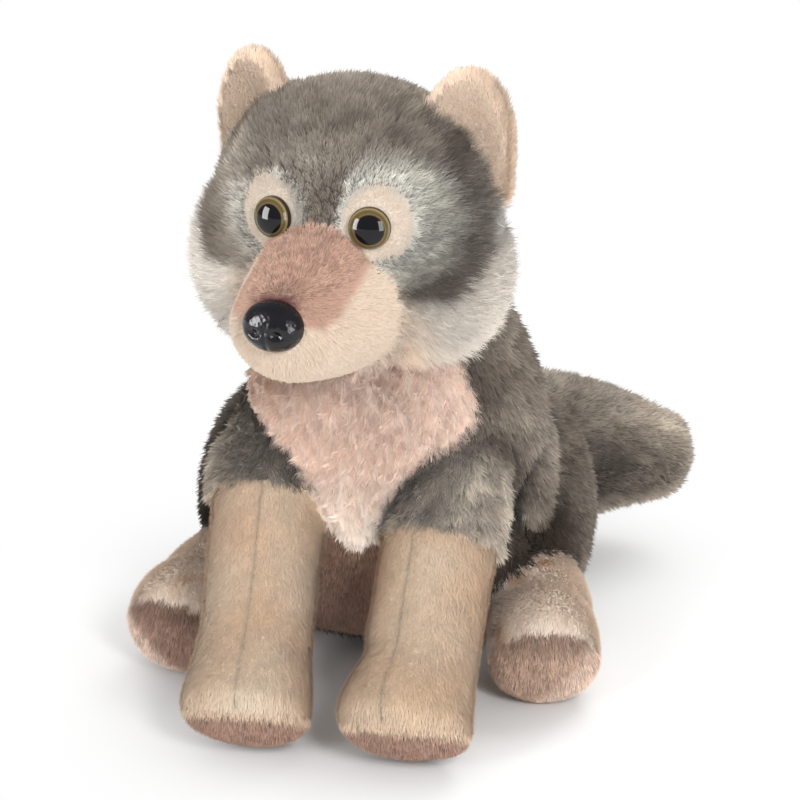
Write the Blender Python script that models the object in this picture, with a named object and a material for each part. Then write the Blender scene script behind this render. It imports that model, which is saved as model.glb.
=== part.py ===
"""A seated plush wolf, about 30 cm tall, modelled as the stuffed and moulded pieces it is sewn from.

The wolf faces -Y, its left side is +X and +Z is up. The origin is on the floor, at the centre of the
flat seat of its torso. Lengths are in metres. Every stuffed piece is one closed solid with its pile
left out, and pieces that are sewn together keep a small gap, so none of them overlaps another.
"""

import math

import bpy
import bmesh
from mathutils import Matrix, Vector

# Sewn seams: neighbours keep this gap.
SEAM_GAP = 0.0003

# Edges shorter than this, left by a cut, are merged, and planes cut with this tolerance.
SLIVER = 0.00003
PLANE_TOLERANCE = 0.000001

# Torso, from the seat on the floor to the neck. It leans forward, and a little to the left, as it rises.
TORSO_HEIGHT = 0.186
TORSO_LEAN = 0.068
TORSO_SWAY = 0.0112
TORSO_HALF_WIDTH = 0.075
TORSO_HALF_DEPTH = 0.064
SEAT_HALF_WIDTH = 0.036
SEAT_HALF_DEPTH = 0.024
NECK_ROUND = 0.012

# Head, in its own axes: x to the wolf's left, y to the back, z up. It is turned to the wolf's right.
HEAD_TURN = math.radians(13)
HEAD_HALF_WIDTH = 0.062
HEAD_FRONT_DEPTH = 0.040
HEAD_BACK_DEPTH = 0.051
HEAD_HALF_HEIGHT = 0.056
HEAD_AHEAD_OF_NECK = 0.018
HEAD_ABOVE_NECK = 0.040

# Cheeks and ruff, one panel on each side, that meet under the chin; both sit a little to the right.
CHEEK_HALF_WIDTH = 0.0410
CHEEK_HALF_DEPTH = 0.038
CHEEK_HALF_HEIGHT = 0.043
CHEEK_SPREAD = 0.028
CHEEK_SWAY = -0.0042
CHEEK_SET_BACK = 0.004
CHEEK_DROP = 0.022

# Muzzle, from the face to its blunt, rounded front.
MUZZLE_LENGTH = 0.041
MUZZLE_ROUND = 0.014
MUZZLE_HALF_WIDTH = 0.029
MUZZLE_HALF_HEIGHT = 0.025
MUZZLE_DROP = 0.033
MUZZLE_RISE = 0.004
BRIDGE_HALF_WIDTH = 0.021
BRIDGE_THICKNESS = 0.0025
BRIDGE_DEPTH = 0.012
BRIDGE_REACH = 0.002
BRIDGE_ROUND = 0.006

# Plastic nose, and the shank that holds it in the muzzle.
NOSE_HALF_WIDTH = 0.0135
NOSE_HALF_HEIGHT = 0.0108
NOSE_DEPTH = 0.0095
NOSE_RISE = 0.0058
NOSE_SINK = 0.0015
NOSE_TILT = math.radians(12)
SHANK_RADIUS = 0.0025
SHANK_LENGTH = 0.010

# Plastic eyes on their short-pile patches; both are set a little to the left.
EYE_DIAMETER = 0.018
EYE_DOME = 0.0062
EYE_SPREAD = 0.0212
EYE_SWAY = 0.0025
EYE_RISE = 0.006
PATCH_HALF_WIDTH = 0.0160
PATCH_HALF_HEIGHT = 0.0155
PATCH_THICKNESS = 0.0022
PATCH_SHIFT_OUT = 0.0020
PATCH_SHIFT_UP = 0.0015

# Ears.
EAR_HEIGHT = 0.055
EAR_HALF_WIDTH = 0.0202
EAR_SPREAD = 0.047
EAR_RISE = 0.010
EAR_SET_BACK = 0.006
EAR_THICKNESS = 0.0065
LINING_THICKNESS = 0.0040
LINING_SHARE = 0.80
LINING_GAP = 0.0007
EAR_CUP = 0.0070

# Bib on the chest, and the belly panel below it.
BIB_HALF_WIDTH = 0.053
BIB_LENGTH = 0.092
BIB_THICKNESS = 0.011
BIB_ROOT = 0.016
BIB_SWAY = 0.003
BELLY_HALF_WIDTH = 0.044
BELLY_THICKNESS = 0.003
BELLY_LOW = 0.07
BELLY_HIGH = 0.50

# Forelegs, from the shoulder to the sole, with a grey sleeve at the top.
FORELEG_RADIUS = 0.0243
PAW_RADIUS = 0.0276
SHOULDER_SPREAD = 0.040
SHOULDER_SWAY = 0.0012
SHOULDER_HEIGHT = 0.132
SHOULDER_AHEAD = 0.062
PAW_SPREAD = 0.0355
PAW_AHEAD = 0.163
PAW_HEIGHT = 0.0225
PAW_SWAY = 0.0016
ELBOW_BEND = 0.004
SHOULDER_ROUND = 0.016
SLEEVE_SHARE_LEFT = 0.41
SLEEVE_SHARE_RIGHT = 0.345
SOLE_THICKNESS = 0.009

# Haunches, hind feet and their soles.
HAUNCH_HALF_WIDTH = 0.0365
HAUNCH_HALF_DEPTH = 0.053
HAUNCH_HALF_HEIGHT = 0.058
HAUNCH_SPREAD = 0.055
HAUNCH_SET_BACK = 0.004
HAUNCH_PRESS = 0.002
HIND_FOOT_RADIUS = 0.0238
HIND_FOOT_SPREAD = 0.085
HIND_FOOT_AHEAD = 0.086
HIND_FOOT_LENGTH = 0.062
HIND_FOOT_ARCH = 0.003
HEEL_RISE = 0.004
HEEL_ROUND = 0.010
HIND_FOOT_SPLAY = math.radians(12)

# Tail, laid on the floor behind the wolf and swung to its left.
TAIL_RADIUS = 0.0345
TAIL_LENGTH = 0.148
TAIL_HEIGHT = 0.0475
TAIL_ARCH = 0.006


def clear_scene():
    """Remove what the scene holds, so the script can be run again."""
    for old in list(bpy.data.objects):
        bpy.data.objects.remove(old, do_unlink=True)
    for old in list(bpy.data.meshes):
        bpy.data.meshes.remove(old)


def material(name, colour, roughness):
    """One Principled material."""
    made = bpy.data.materials.new(name)
    made.use_nodes = True
    shader = made.node_tree.nodes["Principled BSDF"]
    shader.inputs["Base Color"].default_value = (*colour, 1.0)
    shader.inputs["Roughness"].default_value = roughness
    made.diffuse_color = (*colour, 1.0)
    return made


def smooth_path(points, spans):
    """Points of a smooth curve through a few stations; each station is a tuple of numbers."""
    made = []
    last = len(points) - 1
    for index in range(last):
        before = points[max(index - 1, 0)]
        start = points[index]
        end = points[index + 1]
        after = points[min(index + 2, last)]
        for step in range(spans):
            t = step / spans
            made.append(tuple(
                0.5 * (2 * b + (c - a) * t + (2 * a - 5 * b + 4 * c - d) * t ** 2
                       + (3 * b - a - 3 * c + d) * t ** 3)
                for a, b, c, d in zip(before, start, end, after)))
    made.append(tuple(points[last]))
    return made


def tube_mesh(name, stations, segments=20, spans=3, side=(1, 0, 0), level=False,
              start_cap=0.0, end_cap=0.0):
    """A closed body around a smooth path.

    Each station is (x, y, z, half width, half height). A ring lies across the path, or level when
    level is set. A cap length above zero rounds that end off over that length.
    """
    path = smooth_path(stations, spans)
    rings = []
    for index, station in enumerate(path):
        here = Vector(station[:3])
        ahead = Vector(path[min(index + 1, len(path) - 1)][:3])
        behind = Vector(path[max(index - 1, 0)][:3])
        along = Vector((0, 0, 1)) if level else (ahead - behind).normalized()
        across = Vector(side)
        across = (across - along * across.dot(along)).normalized()
        rings.append((here, along, across, along.cross(across), station[3], station[4]))

    def rounded(ring, length, sign):
        here, along, across, up, width, height = ring
        steps = 4
        return [(here + along * (sign * length * math.sin(k / steps * math.pi / 2)), along, across, up,
                 width * math.cos(k / steps * math.pi / 2), height * math.cos(k / steps * math.pi / 2))
                for k in range(1, steps)], here + along * (sign * length)

    tip_start = tip_end = None
    if start_cap:
        extra, tip_start = rounded(rings[0], start_cap, -1)
        rings = extra[::-1] + rings
    if end_cap:
        extra, tip_end = rounded(rings[-1], end_cap, 1)
        rings = rings + extra

    bm = bmesh.new()
    loops = []
    for here, _, across, up, width, height in rings:
        loops.append([bm.verts.new(here + across * (width * math.cos(2 * math.pi * k / segments))
                                   + up * (height * math.sin(2 * math.pi * k / segments)))
                      for k in range(segments)])
    for low, high in zip(loops, loops[1:]):
        for k in range(segments):
            n = (k + 1) % segments
            bm.faces.new((low[k], low[n], high[n], high[k]))
    for loop, tip, flip in ((loops[0], tip_start, True), (loops[-1], tip_end, False)):
        centre = bm.verts.new(tip if tip is not None else sum((v.co for v in loop), Vector()) / segments)
        for k in range(segments):
            n = (k + 1) % segments
            corners = (loop[n], loop[k], centre) if flip else (loop[k], loop[n], centre)
            bm.faces.new(corners)
    return finished(name, bm)


def egg_mesh(name, centre, radii, turn=Matrix(), segments=24, rings=14, front_share=1.0):
    """A stuffed ball squeezed to three half sizes; front_share draws its -Y half in or out."""
    bm = bmesh.new()
    bmesh.ops.create_uvsphere(bm, u_segments=segments, v_segments=rings, radius=1.0)
    for vert in bm.verts:
        if vert.co.y < 0:
            vert.co.y *= front_share
    bm.transform(Matrix.Translation(centre) @ turn @ Matrix.Diagonal((*radii, 1)))
    return finished(name, bm)


def finished(name, bm):
    """The bmesh as a mesh whose faces point out."""
    bmesh.ops.recalc_face_normals(bm, faces=bm.faces)
    mesh = bpy.data.meshes.new(name)
    bm.to_mesh(mesh)
    bm.free()
    return mesh


def moved(mesh, matrix):
    """The same mesh, carried by a matrix."""
    mesh.transform(matrix)
    mesh.update()
    return mesh


def mirrored(mesh, name):
    """A copy of a mesh for the wolf's other side."""
    bm = bmesh.new()
    bm.from_mesh(mesh)
    bm.transform(Matrix.Scale(-1, 4, Vector((1, 0, 0))))
    bmesh.ops.reverse_faces(bm, faces=bm.faces)
    return finished(name, bm)


def grown(mesh):
    """A copy of a mesh, larger by the seam gap all round."""
    bm = bmesh.new()
    bm.from_mesh(mesh)
    bm.normal_update()
    shifts = [vert.normal * SEAM_GAP * 1.1 for vert in bm.verts]
    for vert, shift in zip(bm.verts, shifts):
        vert.co += shift
    return finished(mesh.name + "_grown", bm)


def cut_away(mesh, tool_mesh):
    """The mesh without what lies inside the tool, with the cut's slivers merged."""
    scene = bpy.context.scene.collection
    body = bpy.data.objects.new("blank", mesh)
    tool = bpy.data.objects.new("cutter", tool_mesh)
    tool.hide_render = True
    tool.display_type = "WIRE"
    scene.objects.link(body)
    scene.objects.link(tool)
    step = body.modifiers.new("cut", "BOOLEAN")
    step.operation = "DIFFERENCE"
    step.solver = "EXACT"
    step.object = tool
    bpy.context.view_layer.update()
    made = bpy.data.meshes.new_from_object(body.evaluated_get(bpy.context.evaluated_depsgraph_get()))
    for used in (tool, body):
        bpy.data.objects.remove(used, do_unlink=True)
    bm = bmesh.new()
    bm.from_mesh(made)
    bmesh.ops.triangulate(bm, faces=bm.faces)
    bmesh.ops.remove_doubles(bm, verts=bm.verts, dist=SLIVER)
    bmesh.ops.dissolve_degenerate(bm, edges=bm.edges, dist=SLIVER)
    bmesh.ops.triangulate(bm, faces=bm.faces)
    return finished(mesh.name, bm)


def clear_of(mesh, neighbours):
    """The mesh cut back from its neighbours, by the seam gap."""
    for other in neighbours:
        mesh = cut_away(mesh, grown(other))
    return mesh


def kept_side(mesh, point, direction):
    """The part of a mesh on the side of a plane that direction points to, closed at the plane."""
    bm = bmesh.new()
    bm.from_mesh(mesh)
    everything = list(bm.verts) + list(bm.edges) + list(bm.faces)
    bmesh.ops.bisect_plane(bm, geom=everything, plane_co=point, plane_no=direction,
                           clear_inner=True, dist=PLANE_TOLERANCE)
    bmesh.ops.holes_fill(bm, edges=[edge for edge in bm.edges if edge.is_boundary])
    return finished(mesh.name, bm)


def above_floor(mesh):
    """The mesh pressed flat where it stands on the floor."""
    return kept_side(mesh, Vector(), Vector((0, 0, 1)))


def placed(name, mesh, look):
    """A finished piece as an object of its own."""
    mesh.name = name
    mesh.materials.clear()
    mesh.materials.append(look)
    mesh.shade_smooth()
    mesh.set_sharp_from_angle(angle=math.radians(50))
    made = bpy.data.objects.new(name, mesh)
    bpy.context.scene.collection.objects.link(made)
    return made


def torso_station(rise, lean, width, depth):
    """One level section of the torso, in shares of its height, lean and half sizes."""
    return (TORSO_SWAY * lean, -TORSO_LEAN * lean, TORSO_HEIGHT * rise, TORSO_HALF_WIDTH * width,
            TORSO_HALF_DEPTH * depth)


def torso_stations():
    """Level sections of the torso: a flat seat, a full rump and belly, and a back that slopes up."""
    return [(0.0, 0.0, 0.0, SEAT_HALF_WIDTH, SEAT_HALF_DEPTH),
            torso_station(0.055, 0.02, 0.80, 0.70),
            torso_station(0.16, 0.12, 0.97, 0.93),
            torso_station(0.30, 0.24, 1.03, 1.03),
            torso_station(0.45, 0.40, 0.995, 1.00),
            torso_station(0.60, 0.62, 0.943, 0.94),
            torso_station(0.75, 0.82, 0.863, 0.86),
            torso_station(0.88, 0.95, 0.750, 0.74),
            torso_station(1.00, 1.02, 0.610, 0.52)]


def torso_blank():
    """The torso, from its flat seat to the rounded neck."""
    return tube_mesh("torso", torso_stations(), segments=24, spans=2, level=True, end_cap=NECK_ROUND)


def head_matrix():
    """Carries the head's own axes to where the head sits on the neck."""
    centre = Vector((0.0, -TORSO_LEAN - HEAD_AHEAD_OF_NECK, TORSO_HEIGHT + HEAD_ABOVE_NECK))
    return Matrix.Translation(centre) @ Matrix.Rotation(-HEAD_TURN, 4, "Z")


def crown_front(x, z):
    """How far the crown's front surface is ahead of the head's centre, at one side and height."""
    inside = 1 - (x / HEAD_HALF_WIDTH) ** 2 - (z / HEAD_HALF_HEIGHT) ** 2
    return HEAD_FRONT_DEPTH * math.sqrt(max(inside, 0.0))


def crown_blank():
    """The crown and grey face mask."""
    return egg_mesh("head_crown", Vector(), (HEAD_HALF_WIDTH, HEAD_BACK_DEPTH, HEAD_HALF_HEIGHT),
                    segments=24, rings=14, front_share=HEAD_FRONT_DEPTH / HEAD_BACK_DEPTH)


def cheek_blank():
    """The left cheek panel with its ruff."""
    centre = Vector((CHEEK_SPREAD, CHEEK_SET_BACK, -CHEEK_DROP))
    return egg_mesh("cheek", centre, (CHEEK_HALF_WIDTH, CHEEK_HALF_DEPTH, CHEEK_HALF_HEIGHT),
                    segments=20, rings=12)


def muzzle_front():
    """How far ahead of the head's centre the muzzle begins to round off."""
    return HEAD_FRONT_DEPTH + MUZZLE_LENGTH - MUZZLE_ROUND


def muzzle_blank():
    """The muzzle, narrowing to its front."""
    root = HEAD_FRONT_DEPTH * 0.45
    front = muzzle_front()
    middle = (root + front) / 2
    width = MUZZLE_HALF_WIDTH
    height = MUZZLE_HALF_HEIGHT
    stations = [(0.0, -root, MUZZLE_RISE - MUZZLE_DROP, width * 1.22, height * 1.28),
                (0.0, -middle, MUZZLE_RISE * 0.25 - MUZZLE_DROP, width * 1.10, height * 1.12),
                (0.0, -front, -MUZZLE_DROP, width * 0.86, height * 0.84)]
    return tube_mesh("muzzle", stations, segments=20, spans=2, start_cap=MUZZLE_ROUND * 0.3,
                     end_cap=MUZZLE_ROUND)


def bridge_blank():
    """The brown top of the muzzle, between the eyes and the nose."""
    front = muzzle_front() + BRIDGE_REACH
    root = HEAD_FRONT_DEPTH * 0.80
    high = MUZZLE_HALF_HEIGHT * 1.28 + MUZZLE_RISE - MUZZLE_DROP + BRIDGE_THICKNESS - BRIDGE_DEPTH
    low = MUZZLE_HALF_HEIGHT * 0.84 - MUZZLE_DROP + BRIDGE_THICKNESS - BRIDGE_DEPTH
    stations = [(0.0, -root, high, BRIDGE_HALF_WIDTH, BRIDGE_DEPTH),
                (0.0, -(root + front) / 2, (high + low) / 2, BRIDGE_HALF_WIDTH, BRIDGE_DEPTH),
                (0.0, -front, low, BRIDGE_HALF_WIDTH * 0.72, BRIDGE_DEPTH)]
    return tube_mesh("muzzle_bridge", stations, segments=20, spans=2, start_cap=BRIDGE_ROUND,
                     end_cap=BRIDGE_ROUND)


def button_mesh(name, half_width, half_height, dome, shank):
    """A moulded button that faces -Y: a domed front, a flat back at y = 0 and a shank behind it."""
    rings = [(shank, SHANK_RADIUS, SHANK_RADIUS), (0.0, SHANK_RADIUS, SHANK_RADIUS)]
    steps = 5
    for k in range(steps):
        angle = k / steps * math.pi / 2
        rings.append((-dome * math.sin(angle), half_width * math.cos(angle), half_height * math.cos(angle)))
    segments = 20
    bm = bmesh.new()
    loops = [[bm.verts.new((width * math.cos(2 * math.pi * k / segments), y,
                            height * math.sin(2 * math.pi * k / segments)))
              for k in range(segments)] for y, width, height in rings]
    for low, high in zip(loops, loops[1:]):
        for k in range(segments):
            n = (k + 1) % segments
            bm.faces.new((low[k], low[n], high[n], high[k]))
    bm.faces.new(loops[0])
    tip = bm.verts.new((0.0, -dome, 0.0))
    for k in range(segments):
        bm.faces.new((loops[-1][k], loops[-1][(k + 1) % segments], tip))
    return finished(name, bm)


def nose_matrix():
    """Sets the nose into the upper front of the muzzle, tipped up a little."""
    spot = Vector((0, NOSE_SINK - muzzle_front() - MUZZLE_ROUND, NOSE_RISE - MUZZLE_DROP))
    return Matrix.Translation(spot) @ Matrix.Rotation(-NOSE_TILT, 4, "X")


def eye_matrix(sign):
    """Where an eye's flat back lies on its patch, and which way it looks.

    The right eye, with sign -1, is laid out on the left side and mirrored later.
    """
    x = EYE_SPREAD + EYE_SWAY * sign
    z = EYE_RISE
    front = crown_front(x, z)
    outward = Vector((x / HEAD_HALF_WIDTH ** 2, -front / HEAD_FRONT_DEPTH ** 2, z / HEAD_HALF_HEIGHT ** 2))
    outward.normalize()
    spot = Vector((x, -front, z)) + outward * (PATCH_THICKNESS + SEAM_GAP)
    return Matrix.Translation(spot) @ (-outward).to_track_quat("Y", "Z").to_matrix().to_4x4()


def eye_blank(sign):
    """A domed plastic eye on its shank."""
    half = EYE_DIAMETER / 2
    return moved(button_mesh("eye", half, half, EYE_DOME, SHANK_LENGTH), eye_matrix(sign))


def patch_blank(sign):
    """An eye's cream patch, a shallow lens on the face."""
    shift = Matrix.Translation((PATCH_SHIFT_OUT, 0.0, PATCH_SHIFT_UP))
    swell = PATCH_THICKNESS * 1.9
    lens = egg_mesh("eye_patch", Vector((0, SEAM_GAP + swell, 0)),
                    (PATCH_HALF_WIDTH, swell, PATCH_HALF_HEIGHT), segments=20, rings=10)
    return moved(lens, eye_matrix(sign) @ shift)


def ear_mesh(name, share, front, back):
    """A cupped leaf for the left ear, standing on the head.

    The leaf's outline is the share of the whole ear, and front and back are how far its two faces
    lie ahead of and behind the ear's middle surface.
    """
    rows = 8
    columns = 6
    bm = bmesh.new()

    def point(row, column, depth):
        v = math.sin(row / rows * math.pi / 2)
        u = 2 * column / columns - 1
        half = EAR_HALF_WIDTH * share * (1 - v ** 3.4) ** 0.5 * (0.97 + 0.06 * v)
        x = u * half
        rise = 0.5 + (v - 0.5) * share
        cup = EAR_CUP * (1 - (x / EAR_HALF_WIDTH) ** 2) * (1 - 0.4 * rise)
        return Vector((x, cup - depth * (1 - 0.45 * rise ** 3), EAR_HEIGHT * rise))

    grids = []
    for depth in (front, -back):
        grid = [[bm.verts.new(point(row, column, depth)) for column in range(columns + 1)]
                for row in range(rows)]
        tip = bm.verts.new(point(rows, columns // 2, depth))
        grids.append((grid, tip))
    for (grid, tip), order in zip(grids, (1, -1)):
        for row in range(rows - 1):
            for column in range(columns):
                corners = [grid[row][column], grid[row][column + 1],
                           grid[row + 1][column + 1], grid[row + 1][column]]
                bm.faces.new(corners[::order])
        for column in range(columns):
            corners = [grid[rows - 1][column], grid[rows - 1][column + 1], tip]
            bm.faces.new(corners[::order])
    (near, near_tip), (far, far_tip) = grids

    def wall(a, b, c, d):
        bm.faces.new((a, b, c, d))

    for row in range(rows - 1):
        wall(near[row][0], near[row + 1][0], far[row + 1][0], far[row][0])
        wall(near[row + 1][columns], near[row][columns], far[row][columns], far[row + 1][columns])
    wall(near[rows - 1][0], near_tip, far_tip, far[rows - 1][0])
    wall(near_tip, near[rows - 1][columns], far[rows - 1][columns], far_tip)
    for column in range(columns):
        wall(near[0][column + 1], near[0][column], far[0][column], far[0][column + 1])
    return finished(name, bm)


def ear_matrix():
    """Stands the left ear on the side of the crown, leaning out and facing ahead."""
    spot = Vector((EAR_SPREAD, EAR_SET_BACK, EAR_RISE))
    return (Matrix.Translation(spot) @ Matrix.Rotation(math.radians(14), 4, "Z")
            @ Matrix.Rotation(math.radians(4), 4, "Y") @ Matrix.Rotation(math.radians(4), 4, "X"))


def bib_blank():
    """The bib: widest under the chin and tapering to a point low on the chest."""
    top = TORSO_HEIGHT * 0.90
    chest = TORSO_LEAN + TORSO_HALF_DEPTH * 0.58
    depth = BIB_ROOT + BIB_THICKNESS
    stations = [(BIB_SWAY, BIB_ROOT - chest, top, BIB_HALF_WIDTH * 0.92, depth),
                (BIB_SWAY, BIB_ROOT - chest, top - BIB_LENGTH * 0.30, BIB_HALF_WIDTH, depth),
                (BIB_SWAY, BIB_ROOT * 1.25 - chest, top - BIB_LENGTH * 0.62, BIB_HALF_WIDTH * 0.58, depth),
                (BIB_SWAY, BIB_ROOT * 1.62 - chest, top - BIB_LENGTH * 0.96, BIB_HALF_WIDTH * 0.14, depth)]
    return tube_mesh("bib", stations, segments=22, spans=3, level=True)


def belly_blank():
    """The belly panel: a layer over the torso's lower front, between the legs."""
    stations = [(x, y, z, width + BELLY_THICKNESS, depth + BELLY_THICKNESS)
                for x, y, z, width, depth in torso_stations()]
    layer = tube_mesh("belly_panel", stations, segments=24, spans=2, level=True)
    layer = kept_side(layer, Vector((0, 0, TORSO_HEIGHT * BELLY_LOW)), Vector((0, 0, 1)))
    layer = kept_side(layer, Vector((0, 0, TORSO_HEIGHT * BELLY_HIGH)), Vector((0, 0, -1)))
    layer = kept_side(layer, Vector((0, -TORSO_HALF_DEPTH * 0.5, 0)), Vector((0, -1, 0)))
    layer = kept_side(layer, Vector((BELLY_HALF_WIDTH, 0, 0)), Vector((-1, 0, 0)))
    return kept_side(layer, Vector((-BELLY_HALF_WIDTH, 0, 0)), Vector((1, 0, 0)))


def foreleg_path(sign):
    """Stations of a foreleg from the shoulder to the sole; both legs stand a little to the left."""
    top = Vector((SHOULDER_SPREAD * sign + SHOULDER_SWAY, -SHOULDER_AHEAD, SHOULDER_HEIGHT))
    end = Vector((PAW_SPREAD * sign + PAW_SWAY, -PAW_AHEAD, PAW_HEIGHT))
    upper = top.lerp(end, 0.35) + Vector((0.25 * sign, 1.0, 0.25)) * ELBOW_BEND
    lower = top.lerp(end, 0.72) + Vector((0.0, 1.0, -0.75)) * ELBOW_BEND
    radius = FORELEG_RADIUS
    return [(*top, radius * 1.10, radius * 1.16), (*upper, radius * 1.04, radius * 1.06),
            (*lower, radius * 1.0, radius * 0.98), (*end, PAW_RADIUS, PAW_RADIUS * 0.96)]


def plane_across(stations, share):
    """A point on a path and the direction along the path there."""
    path = smooth_path(stations, 12)
    index = min(max(int(round(share * (len(path) - 1))), 1), len(path) - 2)
    here = Vector(path[index][:3])
    along = (Vector(path[index + 1][:3]) - Vector(path[index - 1][:3])).normalized()
    return here, along


def foreleg_pieces(sign):
    """A foreleg's whole form, and its sleeve, leg and sole; sign is 1 on the left and -1 on the right."""
    stations = foreleg_path(sign)
    whole = tube_mesh("foreleg", stations, segments=18, spans=3, start_cap=SHOULDER_ROUND,
                      end_cap=SOLE_THICKNESS)
    whole = above_floor(whole)
    seam, along = plane_across(stations, SLEEVE_SHARE_LEFT if sign > 0 else SLEEVE_SHARE_RIGHT)
    end = Vector(stations[-1][:3])
    toward = ((end - Vector(stations[-2][:3])).normalized() + Vector((0, 0, -0.55))).normalized()
    half = SEAM_GAP / 2
    sleeve = kept_side(whole, seam - along * half, -along)
    lower = kept_side(whole, seam + along * half, along)
    leg = kept_side(lower, end - toward * half, -toward)
    sole = kept_side(whole, end + toward * half, toward)
    return whole, sleeve, leg, sole


def haunch_blank():
    """The left haunch, a full flattened thigh beside the rump."""
    centre = Vector((HAUNCH_SPREAD, HAUNCH_SET_BACK, HAUNCH_HALF_HEIGHT - HAUNCH_PRESS))
    whole = egg_mesh("haunch", centre, (HAUNCH_HALF_WIDTH, HAUNCH_HALF_DEPTH, HAUNCH_HALF_HEIGHT),
                     segments=20, rings=12)
    return above_floor(whole)


def hind_foot_pieces():
    """The left hind foot and its sole."""
    radius = HIND_FOOT_RADIUS
    front = Vector((HIND_FOOT_SPREAD, -HIND_FOOT_AHEAD, radius * 0.98))
    back = front + Matrix.Rotation(HIND_FOOT_SPLAY, 3, "Z") @ Vector((0, HIND_FOOT_LENGTH, HEEL_RISE))
    middle = front.lerp(back, 0.5) + Vector((0, 0, HIND_FOOT_ARCH))
    stations = [(*back, radius * 0.96, radius * 1.02), (*middle, radius, radius * 1.04),
                (*front, radius * 1.02, radius * 1.02)]
    whole = tube_mesh("hind_foot", stations, segments=18, spans=2, start_cap=HEEL_ROUND,
                      end_cap=SOLE_THICKNESS)
    whole = above_floor(whole)
    toward = ((front - back).normalized() + Vector((0, 0, -0.42))).normalized()
    half = SEAM_GAP / 2
    foot = kept_side(whole, front - toward * half, -toward)
    sole = kept_side(whole, front + toward * half, toward)
    return foot, sole


def tail_blank():
    """The tail, from the rump back and round to the wolf's left."""
    start = Vector((0.0, TORSO_HALF_DEPTH * 0.55, TAIL_HEIGHT))
    headings = (8, 22, 42, 60, 72, 78)
    radii = (0.92, 1.06, 1.12, 1.04, 0.86, 0.58)
    step = TAIL_LENGTH / (len(headings) - 1)
    here = start.copy()
    stations = []
    for index, (heading, share) in enumerate(zip(headings, radii)):
        if index:
            angle = math.radians(heading)
            here = here + Vector((math.sin(angle), math.cos(angle), 0)) * step
        rise = TAIL_ARCH * math.sin(index / (len(headings) - 1) * math.pi)
        stations.append((here.x, here.y, here.z + rise, TAIL_RADIUS * share, TAIL_RADIUS * share))
    return tube_mesh("tail", stations, segments=18, spans=2, side=(0, 0, 1), start_cap=TAIL_RADIUS * 0.2,
                     end_cap=TAIL_RADIUS * 0.4)


def both_sides(mesh, name, carry=Matrix()):
    """A left piece and its mirrored right one, each carried to its place."""
    right = mirrored(mesh, name + "_right")
    left = mesh.copy()
    left.name = name + "_left"
    return {"left": moved(left, carry), "right": moved(right, carry)}


def uneven_sides(make, name, carry):
    """A left and a right piece whose places differ, each made as a left one, then mirrored or carried."""
    return {"left": moved(make(1), carry), "right": moved(mirrored(make(-1), name + "_right"), carry)}


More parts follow.
